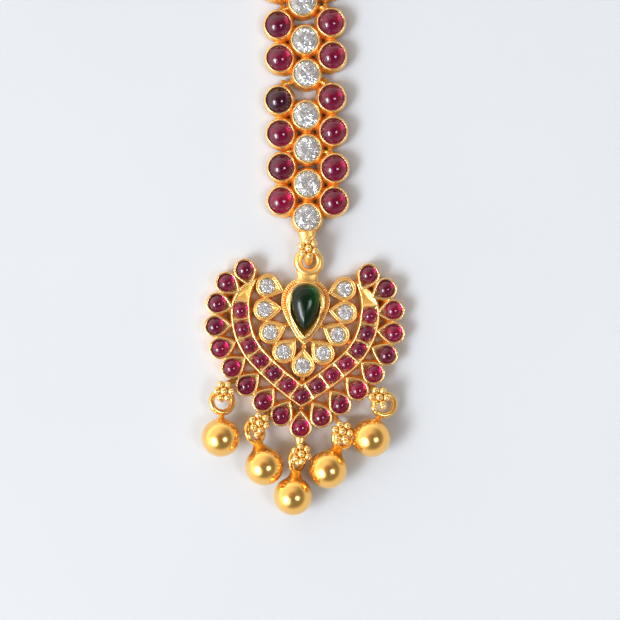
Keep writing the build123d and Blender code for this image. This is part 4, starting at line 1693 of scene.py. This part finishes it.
DROPS = [
    BallDrop("drop_1", aim=-89.0, tilt=20.0, ring_height=2.3, pitches=3.5, side=-1, plate=3.3, phase=0.0,
             shift=(0.22, -0.08), neck=0.45, fillet=0.35),
    BallDrop("drop_2", aim=-71.8, tilt=48.0, ring_height=2.68, pitches=1.5, side=-1, plate=3.7, phase=-20.0,
             shift=(0.05, 0.50), extra=((-0.33, -1.9),)),
    BallDrop("drop_3", aim=-93.9, tilt=55.0, ring_height=2.65, pitches=0.0, side=0, plate=3.8, phase=40.0,
             shift=(0.0, 0.0), extra=((-0.4, -1.4),)),
    BallDrop("drop_4", aim=-113.0, tilt=34.0, ring_height=2.2, pitches=1.5, side=1, plate=3.7, phase=-10.0,
             shift=(0.0, -0.35), extra=((-0.75, -1.75), (0.6, -1.6))),
    BallDrop("drop_5", aim=-109.0, tilt=10.0, ring_height=2.0, pitches=3.5, side=1, plate=3.2, phase=0.0,
             shift=(-0.35, -0.08), extra=((-0.7, -1.8), (0.75, -1.45)), neck=0.45, fillet=0.35),
]

# the middle of the bail in the plan
BAIL_CENTRE = (0.25, 6.15)


@dataclass
class PendantBack:
    """The bars that tie the collets together, the bail, the point's neck and the balls' carriers."""

    web_width: float = 0.7
    web_low: float = 0.02
    web_high: float = 1.0
    web_gap: float = 1.5
    # columns: the row, and where along each of its places' Y the bar starts and ends
    spokes: tuple[tuple[Row, float, float], ...] = (
        (OUTER_ROW, 2.3, 3.0), (WHITE_ROW, 2.3, 3.1), (WHITE_ROW, -1.7, -2.7),
    )
    bail_height: float = 2.0
    bail_wire: float = 0.69
    bail_radius: float = 1.72
    waist_x: float = 0.12
    waist_below: float = 2.45
    waist_reach: float = 0.95
    waist_drop: float = 0.12
    waist: float = 1.66
    waist_depth: float = 0.60
    flare_above: float = 0.25
    flare_below: float = 0.55
    depth_flare: float = 0.05
    point_top: float = -21.75
    point_length: float = 1.9
    point_heights: Pair = (1.35, 1.45)
    point_widths: Pair = (1.12, 0.70)
    point_depths: Pair = (0.85, 0.70)

    def web(self, start: Array, end: Array) -> Surface:
        """One bar between two points of the plan."""
        # the bars take the mark 0.6 of painted shade
        return bar(start, end, self.web_width, self.web_low, self.web_high)

    def webs(self) -> list[Surface]:
        """Bars from each collet to the next, and from each towards the channel.

        Returns:
            The bars.
        """
        found = []
        for row in (OUTER_ROW, WHITE_ROW):
            for first, second in row.neighbours():
                step = self.web_gap * unit(second.origin - first.origin)
                found.append(self.web(first.origin + step, second.origin - step))
        for row, first, last in self.spokes:
            for place in row.places():
                found.append(self.web(*place.carry(np.array([[0, first, 0], [0, last, 0]]))))
        return found

    def bail(self) -> list[Surface]:
        """A thick ring, and the waisted neck that joins it to the collet.

        The neck's half width is least at its waist and grows with the square of the distance t from
        it, which is -1 at its upper end and 1 at its lower one, by flare t^2.

        Returns:
            The ring and the neck.
        """
        place = Placement.flat(*BAIL_CENTRE, 0.0, self.bail_height)
        t = np.linspace(-1, 1, 17)
        down = BAIL_CENTRE[1] - self.waist_below - self.waist_reach * t
        path = level(np.stack([np.full(17, self.waist_x), down], axis=1), self.bail_height - self.waist_drop)
        widths = self.waist + np.where(t > 0, self.flare_below, self.flare_above) * t * t
        heights = self.waist_depth + self.depth_flare * t * t
        # the neck's mark 0.45 and the ring's 0.35 give them a deeper gold as painted shade
        neck = rod(path, X_AXIS, widths, heights, 28, 0.45)
        return [ring(place, self.bail_radius, self.bail_wire, 72, 20).marked(0.35), neck]

    def point_neck(self) -> Surface:
        """The neck below the lowest stone. Its half width tapers with t^0.7 along it.

        Returns:
            The neck.
        """
        t = np.linspace(0, 1, 12)
        plan = np.stack([np.zeros(12), self.point_top - self.point_length * t], axis=1)
        path = level(plan, tapered(self.point_heights, t))
        widths, heights = tapered(self.point_widths, t ** 0.7), tapered(self.point_depths, t)
        # mark 0.3: a little painted shade
        return rod(path, X_AXIS, widths, heights, mark=0.3)

    def build(self) -> Dressed:
        """The back, the bail, and the balls with their carriers.

        Returns:
            The pieces with their finishes.
        """
        back = Piece("pendant_back", Slot.GOLD, ("pendant_frame",), wobble=0.012)
        back.parts = self.webs() + [self.point_neck()]
        bail = Piece("bail", Slot.GOLD, ("pendant_frame",), wobble=0.02)
        bail.parts = self.bail()
        made = [(back, GOLD), (bail, GOLD)]
        for drop in DROPS:
            made += [(drop.build_carrier(), GOLD), (drop.build_drop(), BALL_GOLD)]
        return made


# ------------------------ strand


@dataclass(frozen=True)
class Link:
    """One link of the strand, whose middle and lean come from its stones' boxes."""

    number: int
    column: float = 4.25
    ruby_rows: Pair = (4.02, -1.34)
    white_rows: Pair = (1.4, -4.0)
    bezel_radius: float = 2.43
    seat_radius: float = 1.98
    oval: float = 0.045
    web_gap: float = 2.2
    web_width: float = 1.3
    web_low: float = 0.02
    web_high: float = 0.8
    solder_height: float = 0.75
    solder_sizes: Triple = (0.3, 0.8, 0.7)
    turn_seed: int = 100
    ruby: Cabochon = Cabochon(2.0, 1.3, 2.3, 3.6)
    white: Brilliant = Brilliant(2.0, 2.3, 2.95)

    def place(self) -> Placement:
        """The link's own place: the rubies' middle lies straight above the white stones'.

        Returns:
            The place.
        """
        ruby, white = [
            [sum(pair) / 2 / MM for pair in zip(*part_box(f"link_{self.number}_{kind}"))]
            for kind in ("rubies", "white_stones")
        ]
        lean = math.atan2(white[0] - ruby[0], ruby[1] - white[1])
        middle = Placement.flat(white[0], white[1], lean)
        return middle.moved(np.array([0, -sum(self.white_rows) / 2, 0]))

    def ruby_points(self) -> list[Array]:
        """Centres of the four cabochons, in the link's own place."""
        return [np.array([side * self.column, row, 0]) for row in self.ruby_rows for side in (-1, 1)]

    def white_points(self) -> list[Array]:
        """Centres of the two brilliants, in the link's own place."""
        return [np.array([0.0, row, 0]) for row in self.white_rows]

    def bezels(self) -> list[Surface]:
        """The six round bezels: shallow cups for the cabochons, deep ones for the brilliants.

        Returns:
            The bezels.
        """
        place = self.place()
        outline = Outline(round_points(angles(64), self.bezel_radius))
        cup = Setting(outline, BEZEL_RIM, self.seat_radius, seat_floor=1.25, skirt=0.3, oval=self.oval)
        deep = Setting(
            outline, BEZEL_RIM, self.seat_radius, seat_floor=0.35, skirt=0.2, taper=0.2, oval=self.oval
        )
        shallow = [cup.at(place.moved(point), (-np.sign(point[0]), 0.0)) for point in self.ruby_points()]
        return shallow + [deep.at(place.moved(point)) for point in self.white_points()]

    def webs(self) -> list[Surface]:
        """Bars with a bead of solder between the bezels: down the three columns, then across.

        Returns:
            The bars and the beads.
        """
        place = self.place()
        rubies, whites = self.ruby_points(), self.white_points()
        runs = [(rubies[0], rubies[2]), (rubies[1], rubies[3]), (whites[0], whites[1])]
        runs += [(ruby, whites[0]) for ruby in rubies] + [(ruby, whites[1]) for ruby in rubies[2:]]
        found = []
        for start, end in runs:
            step = self.web_gap * unit(end - start)
            first, last = place.carry(start + step), place.carry(end - step)
            # the bars take mark 2, patina darkened by painted shade, so the openings between bezels read
            # dark; the solder beads take 0.9, painted shade
            found.append(bar(first, last, self.web_width, self.web_low, self.web_high, 2.0))
            bead = solder(place.carry(start), place.carry(end), self.solder_height, self.solder_sizes)
            found.append(bead.marked(0.9))
        return found

    def build(self, extra: list[Surface], tones: list[float]) -> Dressed:
        """The bezels on their webs, and the stones.

        Args:
            extra: what else is soldered to the bezels, such as lugs.
            tones: the rubies' tones.
        Returns:
            The pieces with their finishes.
        """
        place, name = self.place(), f"link_{self.number}"
        metal = Piece(f"{name}_bezels", Slot.GOLD, (f"{name}_frame",), wobble=0.022)
        metal.parts = self.bezels() + extra + self.webs()
        red = Piece(f"{name}_cabochons", Slot.RED, (f"{name}_rubies",))
        red.parts = [self.ruby.at(place.moved(point), tone) for point, tone in zip(self.ruby_points(), tones)]
        clear = Piece(f"{name}_brilliants", Slot.WHITE, (f"{name}_white_stones",), smooth=False)
        points = self.white_points()
        turns = usual_turns(self.turn_seed + self.number, len(points))
        clear.parts = [self.white.at(place.moved(point), turn) for point, turn in zip(points, turns)]
        return [(metal, GOLD), (red, RUBY), (clear, CLEAR)]


@dataclass(frozen=True)
class LinkRing:
    """A small upright ring between a lug of one link and a lug of the next."""

    lower: Link
    upper: Link
    side: int
    spot: Pair = (3.0, 6.6)
    radius: float = 0.55
    wire: float = 0.21
    height: float = 0.86
    lug_width: float = 0.72
    lug_start: float = 2.25
    lug_past: float = 0.1
    lug_low: float = 0.56
    lug_high: float = 1.16

    def run(self) -> tuple[Array, Array]:
        """The ring's centre, and the level direction from the upper link's white stone to it.

        Returns:
            The point and the direction.
        """
        centre = self.lower.place().carry(np.array([self.side * self.spot[0], self.spot[1], self.height]))
        white = self.upper.place().carry(self.upper.white_points()[1])
        return centre, unit((centre - white) * IN_PLAN)

    def wire_ring(self) -> Surface:
        """The ring itself."""
        centre, away = self.run()
        return ring(Placement.facing(centre, np.cross(away, Z_AXIS), away), self.radius, self.wire, 32, 12)

    def lug(self, root: Array, outward: int) -> Surface:
        """A flat lug from a bezel, which ends a little past the ring's wire.

        Args:
            root: the bezel's centre.
            outward: 1 for the lower link's lug, -1 for the upper link's.
        Returns:
            The lug.
        """
        centre, away = self.run()
        end = centre + away * outward * (self.radius + self.lug_past)
        start = root + self.lug_start * unit((end - root) * IN_PLAN)
        # mark 1.4: patina darkened by painted shade under the bezels
        return bar(start, end, self.lug_width, self.lug_low, self.lug_high, 1.4)

    def lugs(self) -> tuple[Surface, Surface]:
        """The lower link's lug, from its upper ruby, and the upper link's, from its lower brilliant.

        Returns:
            The two lugs.
        """
        ruby = self.lower.place().carry(np.array([self.side * self.lower.column, self.lower.ruby_rows[0], 0]))
        white = self.upper.place().carry(self.upper.white_points()[1])
        return self.lug(ruby, 1), self.lug(white, -1)


@dataclass
class Strand:
    """The links, the rings between them, the neck that holds the pendant, and the hook."""

    count: int = 9
    tone_seed: int = 3
    neck_start: float = -6.15
    neck_end: Triple = (0.1, 9.0, 0.0)
    neck_height: float = 1.75
    neck_widths: Pair = (1.55, 1.05)
    neck_depths: Pair = (0.85, 0.75)
    loop_above: float = 1.68
    loop_height: float = 2.05
    loop_radius: float = 1.4
    loop_wire: float = 0.64
    loop_stretch: float = 0.3
    rosette: Rosette = Rosette(0.1, 8.2, plate=3.6, phase=42.0)
    lone_granule: Triple = (0.75, 9.65, 3.1)
    lone_radius: float = 0.5
    hook_ring_y: float = 7.3
    hook_ring_height: float = 2.0
    hook_ring_radius: float = 1.6
    hook_ring_wire: float = 0.35
    end_lug_start: float = 2.25
    end_lug_width: float = 1.7
    end_lug_low: float = 1.1
    end_lug_high: float = 2.1
    hook_wire: float = 0.55
    hook_eye: float = 1.35
    hook_shift: float = 0.45
    hook_shank: float = 9.0
    hook_bend: float = 3.1
    hook_return: float = 5.5
    hook_overlap: float = 0.3
    hook_droop: float = 5.0

    def tones(self) -> list[list[float]]:
        """Tones of each link's rubies: upper left, upper right, lower left, lower right.

        Returns:
            Four tones for each link.
        """
        named = [
            [RubyTone.DEEP, RubyTone.CLEAR, RubyTone.BRIGHT, RubyTone.CLEAR],
            [RubyTone.PLUM, RubyTone.CLEAR, RubyTone.CLEAR, RubyTone.CLEAR],
            [RubyTone.DEEP, RubyTone.CLEAR, RubyTone.CLEAR, RubyTone.CLEAR],
            [RubyTone.CLEAR, RubyTone.BRIGHT, RubyTone.CLEAR, RubyTone.BRIGHT],
        ]
        rest = usual_tones(self.tone_seed, (self.count - len(named), len(named[0])))
        return [[tone.value for tone in row] for row in named] + rest.tolist()

    def pendant_neck(self, link: Link) -> list[Surface]:
        """The neck that runs from the lowest bezel to the rosette, and the loop in the bail.

        Its half width tapers with t^0.8 along it.

        Args:
            link: the lowest link.
        Returns:
            The neck, the loop, and the granules over them.
        """
        t = np.linspace(0, 1, 14)
        start = link.place().carry(np.array([0, self.neck_start, 0]))
        path = start + t[:, None] * (np.array(self.neck_end) - start)
        path[:, 2] = self.neck_height
        widths, heights = tapered(self.neck_widths, t ** 0.8), tapered(self.neck_depths, t)
        # the neck takes mark 0.5 and the loop 0.7: deeper gold as painted shade
        neck = rod(path, X_AXIS, widths, heights, mark=0.5)
        loop_centre = np.array([BAIL_CENTRE[0], BAIL_CENTRE[1] + self.loop_above, self.loop_height])
        upright = Placement.facing(loop_centre, X_AXIS, Y_AXIS)
        loop = ring(upright, self.loop_radius, self.loop_wire, 48, 18, self.loop_stretch)
        granule = ball(np.array(self.lone_granule), self.lone_radius, mark=0.05)
        return [neck, loop.marked(0.7), granule, *self.rosette.surfaces()]

    def hook_place(self, link: Link) -> Placement:
        """The hook ring's centre, with X across the link and Y along the strand."""
        return link.place().moved(np.array([0, self.hook_ring_y, self.hook_ring_height]))

    def hook_path(self) -> Array:
        """The hook's middle line: the shank along Y from inside the eye, the round bend and the return.

        Returns:
            Points of the line, in the hook's own place.
        """
        low = 2 * self.hook_eye
        high = low + self.hook_shank
        rise = np.linspace(low - self.hook_overlap, high, 20)
        bend = round_points(np.linspace(math.pi, 0, 40)[1:-1], self.hook_bend) + [self.hook_bend, high]
        fall = np.linspace(high, high - self.hook_return, 14)
        shank = np.stack([np.zeros(len(rise)), rise], axis=1)
        back = np.stack([np.full(len(fall), 2 * self.hook_bend), fall], axis=1)
        return level(np.concatenate([shank, bend, back]), 0.0)

    def hook(self, link: Link) -> list[Surface]:
        """The hook's wire, its eye and its rounded tip, drooping towards the bend.

        Args:
            link: the last link.
        Returns:
            Their surfaces.
        """
        place = self.hook_place(link)
        droop = math.radians(-self.hook_droop)
        cos, sin = math.cos(droop), math.sin(droop)
        lean = np.array([[1, 0, 0], [0, cos, sin], [0, -sin, cos]])
        here = Placement(place.carry(self.hook_shift * Y_AXIS), lean @ place.axes)
        path = self.hook_path()
        sizes = np.full(len(path), self.hook_wire)
        wire = rod(path, Z_AXIS, sizes, sizes).carried(here)
        eye = ring(here.moved(self.hook_eye * Y_AXIS), self.hook_eye, self.hook_wire)
        return [wire, eye, ball(here.carry(path[-1]), self.hook_wire)]

    def end_lug(self, link: Link) -> Surface:
        """The lug of the last link, through which the hook's ring goes.

        Args:
            link: the last link.
        Returns:
            The lug.
        """
        place = link.place()
        start = place.carry(link.white_points()[0] + self.end_lug_start * Y_AXIS)
        end = place.carry((self.hook_ring_y - self.hook_ring_radius) * Y_AXIS)
        # the lug takes mark 0.4 of painted shade
        return bar(start, end, self.end_lug_width, self.end_lug_low, self.end_lug_high, 0.4)

    def build(self) -> Dressed:
        """Every link with its lugs, the rings, and the hook with its ring.

        Returns:
            The pieces with their finishes.
        """
        links = [Link(number) for number in range(1, self.count + 1)]
        first, last = links[0], links[-1]
        extra = {link.number: [] for link in links}
        made = []
        for lower, upper in zip(links, links[1:]):
            piece = Piece(f"rings_{lower.number}", Slot.GOLD, (f"link_rings_{lower.number}",), wobble=0.01)
            for side in (-1, 1):
                small = LinkRing(lower, upper, side)
                lower_lug, upper_lug = small.lugs()
                extra[lower.number].append(lower_lug)
                extra[upper.number].append(upper_lug)
                piece.parts.append(small.wire_ring())
            made.append((piece, GOLD))
        extra[first.number] += self.pendant_neck(first)
        extra[last.number].append(self.end_lug(last))
        for link, tones in zip(links, self.tones()):
            made += link.build(extra[link.number], tones)
        place = self.hook_place(last)
        hook_ring = Piece("hook_wire_ring", Slot.GOLD, ("hook_ring",), wobble=0.01)
        upright = Placement.facing(place.origin, place.axes[0], place.axes[1])
        hook_ring.parts = [ring(upright, self.hook_ring_radius, self.hook_ring_wire, 56, 14)]
        hook = Piece("wire_hook", Slot.GOLD, ("hair_hook",), wobble=0.01)
        hook.parts = self.hook(last)
        return made + [(hook_ring, GOLD), (hook, GOLD)]


# ------------------------ studio


@dataclass(frozen=True)
class Lamp:
    """A round soft lamp aimed at the jewel.

    It stands `lean` degrees from straight overhead, on the side `side` in degrees from X, at a
    distance in metres. Its half width is in degrees.
    """

    name: str
    lean: float
    side: float
    half_width: float
    radiance: float
    distance: float
    tint: Triple = (0.92, 0.965, 1.0)

    def make(self) -> None:
        """Puts the lamp in place. A lamp of radiance L and area A gives off L A pi watts."""
        lean, side = math.radians(self.lean), math.radians(self.side)
        radius = self.distance * math.tan(math.radians(self.half_width))
        data = bpy.data.lights.new(self.name, "AREA")
        data.shape = "DISK"
        data.size = 2 * radius
        data.energy = self.radiance * math.pi * math.pi * radius ** 2
        data.color = self.tint
        made = bpy.data.objects.new(self.name, data)
        bpy.context.scene.collection.objects.link(made)
        away = Vector((math.sin(lean) * math.cos(side), math.sin(lean) * math.sin(side), math.cos(lean)))
        made.location = away * self.distance
        made.rotation_mode = "QUATERNION"
        made.rotation_quaternion = away.to_track_quat("Z", "Y")


@dataclass
class Studio:
    """The pale floor, the lamps, the surrounding light and the camera."""

    camera_xy: Pair = (0.76, -1.57)
    camera_height: float = 270.0
    camera_roll: float = 2.25
    lens: float = 97.07
    floor_size: float = 8.0
    floor_colour: Triple = (0.606, 0.647, 0.712)
    floor_paler: float = 1.04
    floor_roughness: float = 0.6
    floor_clouds: float = 30.0
    lamps: tuple[Lamp, ...] = (
        Lamp("key_lamp", lean=44.0, side=205.0, half_width=11.0, radiance=13.5, distance=2.60),
        Lamp("key_edge", lean=51.0, side=222.0, half_width=7.5, radiance=13.0, distance=2.61),
        Lamp("key_glow", lean=49.0, side=214.0, half_width=27.0, radiance=1.2, distance=2.70),
        Lamp("small_lamp", lean=28.0, side=-17.0, half_width=9.0, radiance=8.6, distance=2.60),
    )
    bright_way: Triple = (-0.81, 0.53, 0.26)
    bright: float = 1.06
    dark: float = 0.18
    overhead: float = 0.42
    horizon: float = 0.62
    fill_tint: Triple = (1.11, 1.01, 0.84)
    overhead_tint: Triple = (1.1, 0.68, 0.52)

    def floor(self) -> None:
        """A wide plain floor."""
        half = self.floor_size / 2
        corners = [(-half, -half, 0), (half, -half, 0), (half, half, 0), (-half, half, 0)]
        mesh = bpy.data.meshes.new("floor")
        mesh.from_pydata(corners, [], [(0, 1, 2, 3)])
        nodes = Nodes.of(bpy.data.materials.new("pale_floor"))
        inputs = nodes.named("Principled BSDF").inputs
        inputs["Roughness"].default_value = self.floor_roughness
        paler = tuple(min(1.0, part * self.floor_paler) for part in self.floor_colour)
        clouds = nodes.noise(self.floor_clouds)
        nodes.link(nodes.mixed(clouds, self.floor_colour, paler), inputs["Base Color"])
        mesh.materials.append(nodes.owner)
        made = bpy.data.objects.new("floor", mesh)
        bpy.context.scene.collection.objects.link(made)

    def world(self) -> None:
        """Plain light all round, brighter on one side of the room, dimmer and redder straight overhead.

        The strength is a smooth step of the cosine of the angle to the bright way, times a second
        one of the direction's height, plus a third one that rises towards the horizon. A last one
        blends the colour.
        """
        nodes = Nodes.of(bpy.data.worlds.new("studio"))
        bpy.context.scene.world = nodes.owner
        up = Vector((0.0, 0.0, 1.0))
        side = nodes.toward(Vector(self.bright_way), (-0.1, self.dark), (1.0, self.bright))
        above = nodes.toward(up, (0.84, 1.0), (0.96, self.overhead))
        low = nodes.toward(-up, (-0.52, 0.0), (-0.08, self.horizon))
        inputs = nodes.named("Background").inputs
        nodes.link(nodes.computed("MULTIPLY_ADD", side, above, low), inputs["Strength"])
        redder = nodes.toward(up, (0.75, 0.0), (0.95, 1.0))
        nodes.link(nodes.mixed(redder, self.fill_tint, self.overhead_tint), inputs["Color"])

    def camera(self) -> None:
        """A camera straight above the pendant, turned a little so that the jewel leans."""
        data = bpy.data.cameras.new("camera")
        data.lens = self.lens
        data.clip_start, data.clip_end = 0.01, 20.0
        made = bpy.data.objects.new("camera", data)
        bpy.context.scene.collection.objects.link(made)
        turn = Matrix.Rotation(math.radians(self.camera_roll), 4, "Z")
        spot = Vector((*self.camera_xy, self.camera_height)) * MM
        made.matrix_world = Matrix.Translation(spot) @ turn
        bpy.context.scene.camera = made

    def build(self) -> None:
        """Sets the stage."""
        self.camera()
        self.floor()
        self.world()
        for lamp in self.lamps:
            lamp.make()
        bpy.context.scene.view_settings.view_transform = "Standard"


# ------------------------ the whole jewel


def main() -> None:
    """Builds the studio, then each sub-assembly in order, and dresses every piece in its finish."""
    logging.basicConfig(level=logging.INFO, format="%(name)s %(message)s")
    Studio().build()
    materials = {finish: finish.material() for finish in (GOLD, BALL_GOLD, RUBY, CLEAR, EMERALD)}
    for assembly in (HeartChannel(), EdgeAndWhites(), EmeraldCollet(), PendantBack(), Strand()):
        for piece, finish in assembly.build():
            piece.make(materials[finish])
    bpy.context.view_layer.update()


if __name__ == "__main__":
    main()
